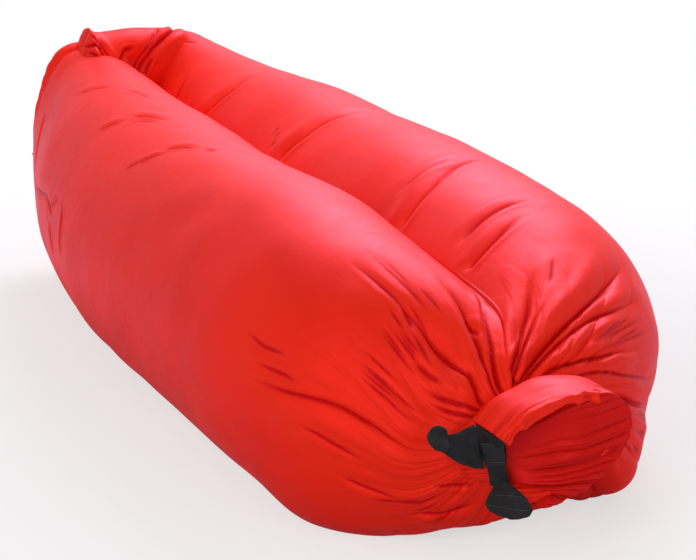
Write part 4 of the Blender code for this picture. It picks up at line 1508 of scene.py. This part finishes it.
@dataclass
class Hoop:
    """The line of the rolled mouth: a tilted ellipse, open on the strap's side.

    Attributes:
        first: the angle of the cloth's upper end, which covers the webbing's sewn end.
        last: the angle of its lower end.
    """

    first: float = math.radians(130)
    last: float = math.radians(-136)

    def __post_init__(self) -> None:
        """Reads the roll's front and rear from the frame."""
        low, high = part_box("mouth_roll")
        self.front, self.rear = low.y, high.y
        self.middle_y = (low.y + high.y) / 2
        self.half_depth = (high.y - low.y) / 2

    def spot(self, angle: np.ndarray, outward: np.ndarray, y: np.ndarray,
             moved: Any = 1.0) -> np.ndarray:
        """Points beside the roll's middle line.

        Args:
            angle: angles round the hoop.
            outward: distances out from the line.
            y: depths.
            moved: 1 at the roll, 0 where it would lie in line with the necks.

        Returns:
            The points.
        """
        c, s = np.cos(angle), np.sin(angle)
        nx, nz = c / NECK_HALF_WIDTH, s / NECK_HALF_HEIGHT
        size = np.hypot(nx, nz)
        x = NECK_HALF_WIDTH * c + outward * nx / size
        z = NECK_HALF_HEIGHT * s + outward * nz / size
        turn = MOUTH_TILT * moved
        ct, st = np.cos(turn), np.sin(turn)
        return np.stack(np.broadcast_arrays(x * ct - z * st + MOUTH_OFFSET * moved, y,
                                            z * ct + x * st + NECK_HEIGHT), -1)


def uneven_ridges(place: np.ndarray, count: int, seed: int) -> tuple[np.ndarray, np.ndarray]:
    """Ridges of uneven size and spacing.

    Args:
        place: each point's share across them, from 0 to 1.
        count: how many there are.
        seed: their unevenness.

    Returns:
        How high each point stands from 0 to 1, and how deep in a valley it is.
    """
    rng = np.random.default_rng(seed)
    starts = rng.uniform(0, 2 * math.pi, 2)
    sway = 0.5 * np.sin(place * 9 + starts[0])
    phase = place * count + sway + 0.35 * np.sin(place * 21 + starts[1])
    index = np.clip(np.floor(phase).astype(int) + 2, 0, count + 4)
    ridge = np.abs(np.sin(math.pi * (phase % 1))) ** 0.7
    return ridge * rng.uniform(0.3, 1.0, count + 5)[index], np.clip(1 - ridge * 1.9, 0, 1)


@dataclass
class Mouth(Assembly):
    """The rolled mouth of the bag: the collar behind it, the roll, its face and the cheek.

    Attributes:
        hoop: the line that it follows.
        half_thickness: half the roll's thickness.
        squareness: how square the roll's section is.
        rows: how many rings the roll has.
        columns: how many points each has.
        roll_cut: the flat width and length of the roll's cloth.
        strap_top: where the face's cloth starts behind the buckle, at its upper end.
        strap_foot: the same at its lower end.
        face_cut: the flat width and length of the face's cloth.
        cheek_cut: not used.
        collar_cut: those of the collar's.
        wall: how thick the face's and the cheek's cloth is.
        collar_wall: how thick the collar's is.
        front_limit: how far the face may stand in front of the roll.
        face_unevenness: how uneven the face's cloth is.
    """

    hoop: Hoop
    half_thickness: float = 0.0105
    squareness: float = 3.0
    rows: int = 420
    columns: int = 150
    roll_cut: tuple[float, float] = (0.235, 0.47)
    strap_top: Place = (-0.0960, -0.8930, 0.2300)
    strap_foot: Place = (-0.0770, -0.9000, 0.1380)
    face_cut: tuple[float, float] = (0.105, 0.420)
    cheek_cut: tuple[float, float] = (0.055, 0.185)
    collar_cut: tuple[float, float] = (0.045, 0.620)
    wall: float = 0.0010
    collar_wall: float = 0.0012
    front_limit: float = 0.0062
    face_unevenness: float = 0.0022

    def roll(self) -> None:
        """Makes the rolled band: smooth on top, gathered at its ends, crumpled along its front."""
        h = self.hoop
        u = np.linspace(0, 1, self.rows)[:, None]
        angle = mix(h.first, h.last, u)
        k = np.linspace(0, 2 * math.pi, self.columns, endpoint=False)[None, :]
        c, s = np.cos(k), np.sin(k)
        power = 2 / self.squareness
        inset, wave, crumple, wrinkle, gathers = 0.002, 0.0020, 0.0042, 0.0009, 0.0050
        hang, scallop = 0.003, 0.0022
        out = self.half_thickness * np.sign(c) * np.abs(c) ** power
        depth = (h.half_depth - inset) * np.sign(s) * np.abs(s) ** power
        shape = h.spot(angle, out, h.middle_y + depth)
        girth, length = self.roll_cut
        lattice = Lattice(shape, True, np.linspace(0, girth, self.columns + 1), u[:, 0] * length,
                          ends=(True, True))
        centre = h.spot(angle, 0 * out, h.middle_y + 0 * depth)
        across = depth / h.half_depth + 0 * u
        push = Ripples(63, 0.09).at(shape) * wave
        # fold holds painted shade: along the drawn-in lines, in the crumples of the front edge and
        # in the valleys at the strap's ends.
        fold = np.zeros(shape.shape[:2])
        for place, cut, sway, start, end in ROLL_LINES:
            drift = place + 0.16 * np.sin(u * 6 + sway)
            window = smooth_step(start, start + 0.15, u) * smooth_step(0, 0.15, end - u)
            near = np.exp(-((across - drift) / 0.04) ** 2) * window
            push -= cut * near
            fold = np.maximum(fold, near * 0.4)
        front = smooth_step(0.62, 1.0, -across)
        top, beginning = np.exp(-((u - 0.31) / 0.12) ** 2), np.exp(-((u - 0.08) / 0.05) ** 2)
        ruffled = mix(0.25, 1.0, top + 0.5 * beginning)
        sharp = 1 - np.abs(Ripples(61, 0.044).at(shape)) * 2.0
        finer = 1 - np.abs(Ripples(62, 0.018).at(shape)) * 2.0
        push += (sharp * crumple + finer * wrinkle) * front * ruffled
        fold = np.maximum(fold, np.clip(0.25 - sharp, 0, 0.5) * front * ruffled)
        droop = front * smooth_step(0.0, 0.6, -np.sign(c) * np.abs(c))
        droop = droop * smooth_step(0.02, 0.3, 0.52 - u)
        push += droop * (hang + scallop * np.sin(u * 52 + 2 * np.sin(u * 23)))
        strap_end = np.exp(-(u / 0.13) ** 2) + np.exp(-((1 - u) / 0.10) ** 2)
        ridges, valleys = uneven_ridges((across + 1) / 2, 9, 64)
        push += (ridges - 0.6) * gathers * strap_end
        fold = np.maximum(fold, valleys * strap_end * 0.8)
        moved = shape + lattice.normals(shape - centre) * push[..., None]
        foremost = mix(h.front - 0.004, h.front + 0.005, smooth_step(0.35, 0.43, u))
        moved[..., 1] = np.clip(moved[..., 1], foremost, h.rear + 0.001)
        lattice.points = moved
        gather = np.clip(front * 0.5 * ruffled + strap_end * 0.5, 0, 1)
        lattice.marks = {"fold": fold, "gather": gather}
        roll = lattice.build("mouth_roll_cloth", self.finishes.roll)
        turn_outward(roll)
        settle(roll, Body.CLOSURE, "roll_cloth", "mouth_roll")

    def strap_line(self, w: np.ndarray) -> np.ndarray:
        """Points of the line behind the strap, from its upper to its lower end."""
        return mix(np.array(self.strap_top), np.array(self.strap_foot), w[..., None])

    def face(self) -> None:
        """Makes the pleated face: cloth from behind the strap, over the roll to its edge."""
        h = self.hoop
        rays, steps, lip = 460, 110, 8
        lift, lead, tuck, lip_depth = 0.0012, 0.0030, 0.012, 0.014
        hollow, belly, flat_width = 0.026, 0.008, 0.17
        w = np.linspace(0, 1, rays)
        a = mix(h.first - 0.04, h.last, w)
        under = smooth_step(math.radians(28), math.radians(58), a)
        over = self.half_thickness + lift
        reach = mix(over, -self.half_thickness * 0.55, under)
        depth = mix(h.front - lead, h.front + tuck, under)
        rim = h.spot(a, reach, depth)
        start = self.strap_line(smooth_step(0.08, 0.95, w))
        share = np.linspace(0, 1, steps)[None, :, None]
        flat = start[:, None, :] + (rim[:, None, :] - start[:, None, :]) * share
        forward = 1 - (1 - share[..., 0]) ** 2.4
        level = start[:, None, 1] + (rim - start)[:, None, 1] * forward
        flat[..., 1] = mix(level, flat[..., 1], under[:, None])
        back = h.spot(a, mix(over + lift / 2, reach, under), depth + lip_depth)
        curl = np.linspace(0, 1, lip + 1)[None, 1:, None]
        points = np.concatenate([flat, rim[:, None, :] + (back - rim)[:, None, :] * curl], 1)
        s = np.r_[np.linspace(0, 1, steps), 1 + 0.1 * np.linspace(0, 1, lip + 1)[1:]][None, :]
        w = w[:, None]
        inside = np.clip(s, 0, 1)
        arch = np.sin(math.pi * inside)
        sunk = hollow * np.sin(math.pi * inside ** 0.8) * (1 - smooth_step(0.30, 0.80, w))
        proud = -belly * arch * smooth_step(0.55, 0.90, w)
        push = sunk + proud + Ripples(71, 0.05).at(points) * self.face_unevenness * arch
        # fold holds painted shade in the pleats' valleys.
        fold = np.zeros(push.shape)
        low = smooth_step(0.42, 0.62, w)
        for count, size, begin, seed, only_low in FACE_PLEATS:
            ridges, valleys = uneven_ridges(w + 0.012 * np.sin(s * 5 + w * 14), count, seed)
            grow = smooth_step(begin, begin + 0.34, s) * np.clip((1.06 - s) * 9, 0.15, 1)
            grow = grow * (low if only_low else 1.0)
            push = push + size * (0.6 - ridges) * grow
            fold = np.maximum(fold, valleys * grow * 0.8)
        points[..., 1] += push * smooth_step(0.0, 0.05, inside)
        points[..., 1] = np.maximum(points[..., 1], h.front - self.front_limit)
        across = np.linspace(0, flat_width, points.shape[1])
        lattice = Lattice(points, False, across, np.linspace(0, self.face_cut[1], rays))
        gather = np.clip(0.2 + 0.5 * inside ** 3 + 0 * w, 0, 1)
        lattice.marks = {"fold": fold, "gather": gather}
        face = lattice.build("mouth_face_cloth", self.finishes.face, flip=True)
        add_wall(face, self.wall, 1.0)
        settle(face, Body.CLOSURE, "face_cloth", "mouth_face")

    def cheek(self) -> None:
        """Makes the cloth that closes the mouth's open side, from the collar to the strap."""
        h = self.hoop
        rays, steps = 300, 60
        inset, bulge, pleat, wrinkle = 0.0035, 0.012, 0.0055, 0.0018
        w = np.linspace(0, 1, rays)
        a = mix(h.first - 0.20, h.last + 2 * math.pi + 0.16, w)
        rear = h.spot(a, np.full(rays, inset), np.full(rays, h.rear + 0.004))
        start = self.strap_line(w)
        share = np.linspace(0, 1, steps)[None, :]
        points = rear[:, None, :] + (start - rear)[:, None, :] * share[..., None]
        w = w[:, None]
        arch = bulge * np.sin(math.pi * share) * np.sin(math.pi * w)
        ridges, valleys = uneven_ridges(w + 0.010 * np.sin(share * 4 + w * 9), 11, 21)
        finer, _ = uneven_ridges(w + 0 * share, 34, 22)
        lift = arch + (ridges - 0.5) * pleat * (1 - share * 0.6) + (finer - 0.5) * wrinkle
        points = points + lift[..., None] * np.array((-0.80, -0.58, 0.10))
        lattice = Lattice(points, False, np.linspace(0, 0.05, steps), np.linspace(0, 0.13, rays))
        gather = np.full(points.shape[:2], 0.5)
        # Painted shade in the pleats' valleys.
        lattice.marks = {"fold": valleys * 0.7 + 0 * share, "gather": gather}
        cheek = lattice.build("mouth_cheek_cloth", self.finishes.collar)
        add_wall(cheek, self.wall)
        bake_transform(cheek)
        report(cheek)

    def collar(self) -> None:
        """Makes the gathered ring of cloth that runs in from the necks and under the roll."""
        h = self.hoop
        low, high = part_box("neck_collar")
        rings, points_round, pleat, flat_length = 56, 640, 0.0045, 0.56
        v = np.linspace(0, 1, rings)[:, None]
        a = np.linspace(0, 2 * math.pi, points_round, endpoint=False)[None, :]
        turn = a / (2 * math.pi)
        ridges, valleys = uneven_ridges(turn, 26, 9)
        size = np.sin(math.pi * np.clip(turn, 0, 1)) ** 0.08
        out = mix(-0.0030, 0.0010, v) + (ridges - 0.45) * pleat * size * mix(1, 0.6, v)
        y = mix(high.y + 0.006, low.y - 0.004, v)
        shape = h.spot(a + 0 * v, out, y + 0 * a, smooth_step(0.1, 1.0, v) + 0 * a)
        across = np.linspace(0, flat_length, points_round + 1)
        lattice = Lattice(shape, True, across, v[:, 0] * self.collar_cut[0])
        # Painted shade in the pleats' valleys.
        lattice.marks = {"fold": valleys * 0.8 + 0 * v, "gather": np.full(shape.shape[:2], 0.6)}
        collar = lattice.build("neck_collar_cloth", self.finishes.collar, flip=True)
        add_wall(collar, self.collar_wall)
        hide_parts("neck_collar")
        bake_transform(collar)
        report(collar)

    def build(self) -> None:
        """Makes the mouth's pieces and dresses the strip inside the roll."""
        self.collar()
        self.roll()
        self.face()
        self.cheek()
        dress("mouth_stiffener", self.finishes.strip)


# Where the roll's cloth is drawn in: place across, depth, sway, and the shares where it
# starts and ends.
ROLL_LINES = ((-0.30, 0.0016, 0.5, 0.0, 0.55), (0.35, 0.0014, 2.2, 0.3, 1.0))

# The face's pleats: count, height, where they start, seed, and whether only the low side has
# them.
FACE_PLEATS = ((9, 0.0110, 0.02, 3, True), (24, 0.0034, 0.50, 5, False),
               (55, 0.0012, 0.76, 8, False), (17, 0.0030, 0.10, 4, True))


# Webbing and buckle


@dataclass
class Ribbon:
    """A length of webbing through edge points, with rounded edges and a ridge where it is folded.

    Attributes:
        name: the piece's name.
        left: one edge's points.
        right: the other edge's.
        thickness: how thick it is.
        ridge: how far its face is lifted along the fold.
        ridge_place: where the fold runs, from -1 at the left edge to 1.
        ripple: how uneven its face is.
        half_girth: half the flat length round it.
        rows: how many rings it has.
        columns: how many points each has.
    """

    name: str
    left: Edge
    right: Edge
    thickness: float = 0.0022
    ridge: float = 0.0
    ridge_place: float = 0.0
    ripple: float = 0.0006
    half_girth: float = 0.0135
    rows: int = 90
    columns: int = 56

    def edge(self, points: Edge) -> np.ndarray:
        """An edge's points evenly spaced, with rounded corners."""
        fine = rounded(points, 24, 15)
        return resampled(fine, np.linspace(0, 1, len(fine)), np.linspace(0, 1, self.rows))

    def surface(self, across: np.ndarray, lift: np.ndarray) -> np.ndarray:
        """Points beside the ribbon's middle face.

        Args:
            across: places from -1 at the left edge to 1, rows by columns or for every row.
            lift: distances out of the face.

        Returns:
            The points, rows by columns by three.
        """
        left, right = self.edge(self.left), self.edge(self.right)
        middle, half = (left + right) / 2, (right - left) / 2
        facing = unit(np.cross(np.gradient(middle, axis=0), half))
        fold = self.ridge * np.clip(1 - np.abs(across - self.ridge_place) / 1.1, 0, 1)
        flat = middle[:, None, :] + half[:, None, :] * across[..., None]
        wave = Ripples(81, 0.022).at(flat) * self.ripple
        return flat + facing[:, None, :] * (lift + fold + wave)[..., None]

    def build(self, finish: bpy.types.Material, body: Body, *nodes: str) -> bpy.types.Object:
        """Makes the ribbon.

        Args:
            finish: its material.
            body: what it rides on.
            nodes: the CAD nodes that it stands for.

        Returns:
            The object.
        """
        k = np.linspace(0, 2 * math.pi, self.columns, endpoint=False)[None, :]
        every_row = np.zeros((self.rows, 1))
        c, s = np.cos(k) + every_row, np.sin(k) + every_row
        across = np.sign(c) * np.abs(c) ** 0.6
        lift = self.thickness / 2 * np.sign(s) * np.abs(s) ** 0.45
        points = self.surface(across, lift)
        girth = np.r_[across[0], across[0, 0]] * self.half_girth + self.half_girth
        lattice = Lattice(points, True, girth, lengths_along(points.mean(1)), ends=(True, True))
        made = lattice.build(self.name, finish)
        turn_outward(made)
        settle(made, body, "black_webbing", *nodes)
        return made


@dataclass
class Buckle(Assembly):
    """The webbing at the mouth's open side: its sewn ends, the straps, the tail and the buckle.

    Attributes:
        stitch_pitch: the length of a stitch and its gap.
        stitch_radius: the thread's radius.
        kept_length: not used.
    """

    stitch_pitch: float = 0.0036
    stitch_radius: float = 0.00045
    kept_length: float = 0.32

    def sew(self, ribbon: Ribbon, name: str, rows: Sequence[int], half_width: float,
            lift: float, body: Body) -> None:
        """Sews rows of stitches across a ribbon.

        Args:
            ribbon: the webbing.
            name: the rows' name, to which each adds a letter.
            rows: the ribbon's rings that they follow.
            half_width: how far they reach from its middle, as a share.
            lift: how far the thread lies over the webbing's face.
            body: what they ride on.
        """
        across = np.linspace(-half_width, half_width, 40)[None, :] + np.zeros((ribbon.rows, 1))
        lines = ribbon.surface(across, np.full_like(across, ribbon.thickness / 2 + lift))
        for letter, row in zip("abc", rows):
            thread = StitchRow(f"{name}_{letter}", self.stitch_pitch, self.stitch_radius)
            settle(thread.build(lines[row], self.finishes.black_thread), body, "black_webbing")

    def build(self) -> None:
        """Makes the webbing and its stitches, and dresses the buckle's moulded parts."""
        webbing = self.finishes.webbing
        UPPER_ANCHOR.build(webbing, Body.CLOSURE, "anchor_upper")
        UPPER_STRAP.build(webbing, Body.CLOSURE, "strap_upper")
        strap = LOWER_STRAP.build(webbing, Body.CLOSURE, "strap_lower")
        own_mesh(strap)
        LOWER_ANCHOR.build(webbing, Body.CLOSURE, "anchor_lower")
        self.sew(LOWER_ANCHOR, "lower_anchor_stitches", (34, 56), 0.8, 0.0004, Body.CLOSURE)
        TAIL.build(webbing, Body.TAIL, "strap_tail")
        TAIL_TIP.build(webbing, Body.TAIL, "tail_tip")
        self.sew(TAIL_TIP, "tail_tip_stitches", (24, 40, 56), 0.75, 0.0034, Body.TAIL)
        for node in ("buckle_socket", "buckle_plug", "plug_prong_front", "plug_prong_back"):
            dress(node, self.finishes.moulded)


UPPER_ANCHOR = Ribbon(
    "upper_anchor_webbing",
    ((-0.1150, -0.8660, 0.2330), (-0.1190, -0.8720, 0.2290), (-0.1225, -0.8790, 0.2200),
     (-0.1235, -0.8870, 0.2060), (-0.1215, -0.8960, 0.1880)),
    ((-0.1080, -0.9440, 0.2290), (-0.1060, -0.9430, 0.2260), (-0.1020, -0.9260, 0.2180),
     (-0.1040, -0.9100, 0.2060), (-0.1050, -0.9060, 0.1880)),
    thickness=0.0030, ridge=0.0015)
UPPER_STRAP = Ribbon(
    "upper_strap_webbing",
    ((-0.1178, -0.8962, 0.2240), (-0.1176, -0.8964, 0.2190), (-0.1170, -0.8968, 0.2150)),
    ((-0.0985, -0.9130, 0.2245), (-0.0983, -0.9128, 0.2190), (-0.0978, -0.9124, 0.2150)),
    thickness=0.0034)
# The strap under the plug.
LOWER_STRAP = Ribbon(
    "lower_strap_webbing",
    ((-0.1116, -0.8964, 0.1795), (-0.1106, -0.8966, 0.1700), (-0.1080, -0.8960, 0.1580),
     (-0.1050, -0.8955, 0.1450)),
    ((-0.0902, -0.9140, 0.1805), (-0.0880, -0.9150, 0.1700), (-0.0860, -0.9150, 0.1600),
     (-0.0835, -0.9160, 0.1470)),
    thickness=0.0026, ridge=0.0015)
LOWER_ANCHOR = Ribbon(
    "lower_anchor_webbing",
    ((-0.1030, -0.8975, 0.1505), (-0.1010, -0.9000, 0.1440), (-0.1100, -0.9010, 0.1330),
     (-0.1190, -0.9060, 0.1225), (-0.1150, -0.9140, 0.1130), (-0.1070, -0.9250, 0.1090)),
    ((-0.0835, -0.9200, 0.1505), (-0.0790, -0.9420, 0.1480), (-0.0740, -0.9600, 0.1400),
     (-0.0700, -0.9660, 0.1270), (-0.0740, -0.9660, 0.1190), (-0.0850, -0.9540, 0.1120)),
    thickness=0.0060, ridge=0.0130, ridge_place=0.45, ripple=0.0014)
# The strap's free end, folded along its length.
TAIL = Ribbon(
    "strap_tail_webbing",
    ((-0.1248, -0.9190, 0.1840), (-0.1400, -0.9170, 0.1860), (-0.1600, -0.9140, 0.1950),
     (-0.1760, -0.9080, 0.2060), (-0.1860, -0.9040, 0.2150)),
    ((-0.1250, -0.8800, 0.2390), (-0.1400, -0.8800, 0.2340), (-0.1560, -0.8830, 0.2300),
     (-0.1700, -0.8860, 0.2310), (-0.1830, -0.8860, 0.2360)),
    thickness=0.0032, ridge=0.0095, ridge_place=-0.35, ripple=0.0012)
TAIL_TIP = Ribbon(
    "tail_tip_webbing",
    ((-0.1800, -0.9050, 0.2130), (-0.1880, -0.9060, 0.2150), (-0.1980, -0.9060, 0.2200),
     (-0.2060, -0.9030, 0.2280), (-0.2060, -0.8990, 0.2330)),
    ((-0.1730, -0.8850, 0.2360), (-0.1790, -0.8840, 0.2440), (-0.1880, -0.8830, 0.2470),
     (-0.1990, -0.8850, 0.2440), (-0.2040, -0.8890, 0.2400)),
    thickness=0.0100, ridge=0.0030, ridge_place=0.3, ripple=0.0020)


def dress(node: str, material: bpy.types.Material) -> None:
    """Gives a CAD node its finish.

    Args:
        node: the node's name.
        material: the finish.
    """
    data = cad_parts[node].data
    data.materials.clear()
    data.materials.append(material)


# Studio


@dataclass
class Studio:
    """Floor, lights and the camera at the photograph's angle.

    Attributes:
        camera_place: where the camera stands.
        look: the way it looks.
        lens: its focal length in millimetres, on a 36 mm sensor.
        floor_size: how wide the floor is.
        near_white: how much of the floor's white is the camera's own, close to the lounger.
        room_light: the world's strength as a lamp.
        room_white: what is added to it where the camera sees it.
    """

    camera_place: Place = (-1.6436, -3.7827, 1.4496)
    look: Place = (0.39546, 0.87137, -0.2904)
    lens: float = 124.14
    floor_size: float = 60.0
    near_white: float = 0.62
    room_light: float = 0.45
    room_white: float = 0.55

    def camera(self) -> None:
        """Adds the camera."""
        data = bpy.data.cameras.new("camera")
        data.lens = self.lens
        data.sensor_width = 36.0
        bpy.context.scene.camera = aimed("camera", data, self.camera_place, Vector(self.look))

    def floor(self) -> None:
        """Adds the pale floor, white to the camera, with the object's shadow on it."""
        bpy.ops.mesh.primitive_plane_add(size=self.floor_size, location=(0, 0, -0.0004))
        floor = bpy.context.object
        floor.name = "floor"
        s = Surface("pale_floor")
        grain = s.noise(s.place, 40.0, 2.0)
        colour = s.blend(grain * 0.1, PALE, PALE_GRAIN)
        pale = s.term("ShaderNodeBsdfDiffuse", 0, None, {"Color": colour, "Roughness": 0.9})
        white = s.term("ShaderNodeEmission", 0, None, {"Color": WHITE, "Strength": 1.0})
        reach = s.term("ShaderNodeVectorMath", "Value", {"operation": "LENGTH"}, {0: s.place})
        seen = s.term("ShaderNodeLightPath", "Is Camera Ray")
        share = seen * s.ramp(reach, 0.7, 2.2, self.near_white, 1.0)
        shader = s.term("ShaderNodeMixShader", 0, None, {0: share, 1: pale, 2: white})
        s.close("ShaderNodeOutputMaterial", shader)
        floor.data.materials.append(s.material)

    def lamp(self, name: str, place: Place, target: Place, size: float, power: float,
             colour: Place) -> None:
        """Adds a large soft lamp.

        Args:
            name: its name.
            place: where it hangs.
            target: what it points at.
            size: its width.
            power: its power in watts.
            colour: its light.
        """
        data = bpy.data.lights.new(name, "AREA")
        data.shape = "DISK"
        data.size = size
        data.energy = power
        data.color = colour
        aimed(name, data, place, Vector(target) - Vector(place))

    def world(self) -> None:
        """Sets a pale world, white where the camera sees it."""
        world = bpy.data.worlds.new("pale_room")
        bpy.context.scene.world = world
        world.use_nodes = True
        world.node_tree.nodes.clear()
        kit = NodeKit(world.node_tree)
        ray = kit.node("ShaderNodeLightPath")
        camera, glossy, through = (kit.outlet(ray, f"Is {kind} Ray")
                                   for kind in ("Camera", "Glossy", "Transmission"))
        seen = kit.maths("MAXIMUM", camera, kit.maths("MAXIMUM", glossy, through))
        light = kit.term("ShaderNodeBackground", 0, None,
                         {"Color": WHITE, "Strength": self.room_light + seen * self.room_white})
        kit.close("ShaderNodeOutputWorld", light)

    def build(self) -> None:
        """Makes the studio."""
        self.camera()
        self.floor()
        self.world()
        for lamp in LAMPS:
            self.lamp(*lamp)
        bpy.context.scene.view_settings.view_transform = "Standard"


def aimed(name: str, data: bpy.types.ID, place: Place, way: Vector) -> bpy.types.Object:
    """Adds a camera or lamp at a place that looks a way."""
    obj = shown(name, data)
    obj.location = place
    obj.rotation_euler = way.to_track_quat("-Z", "Y").to_euler()
    return obj


# Each lamp's name, place, target, width, power and colour.
LAMPS = (
    ("overhead", (1.5, 2.0, 2.9), (0, 0, 0.2), 2.4, 175, (0.80, 0.82, 1.0)),
    ("front", (-3.2, -3.6, 2.0), (0, -0.2, 0.2), 2.4, 60, (1.0, 0.95, 0.90)),
)


def main() -> None:
    """Builds every sub-assembly in order, then the studio."""
    logging.basicConfig(level=logging.INFO, format="%(name)s: %(message)s")
    finishes = Finishes()
    for side in Side:
        Chamber(finishes, side).build()
    Head(finishes).build()
    Mouth(finishes, Hoop()).build()
    dress("seam_web", finishes.tape)
    Buckle(finishes).build()
    Studio().build()


if __name__ == "__main__":
    main()
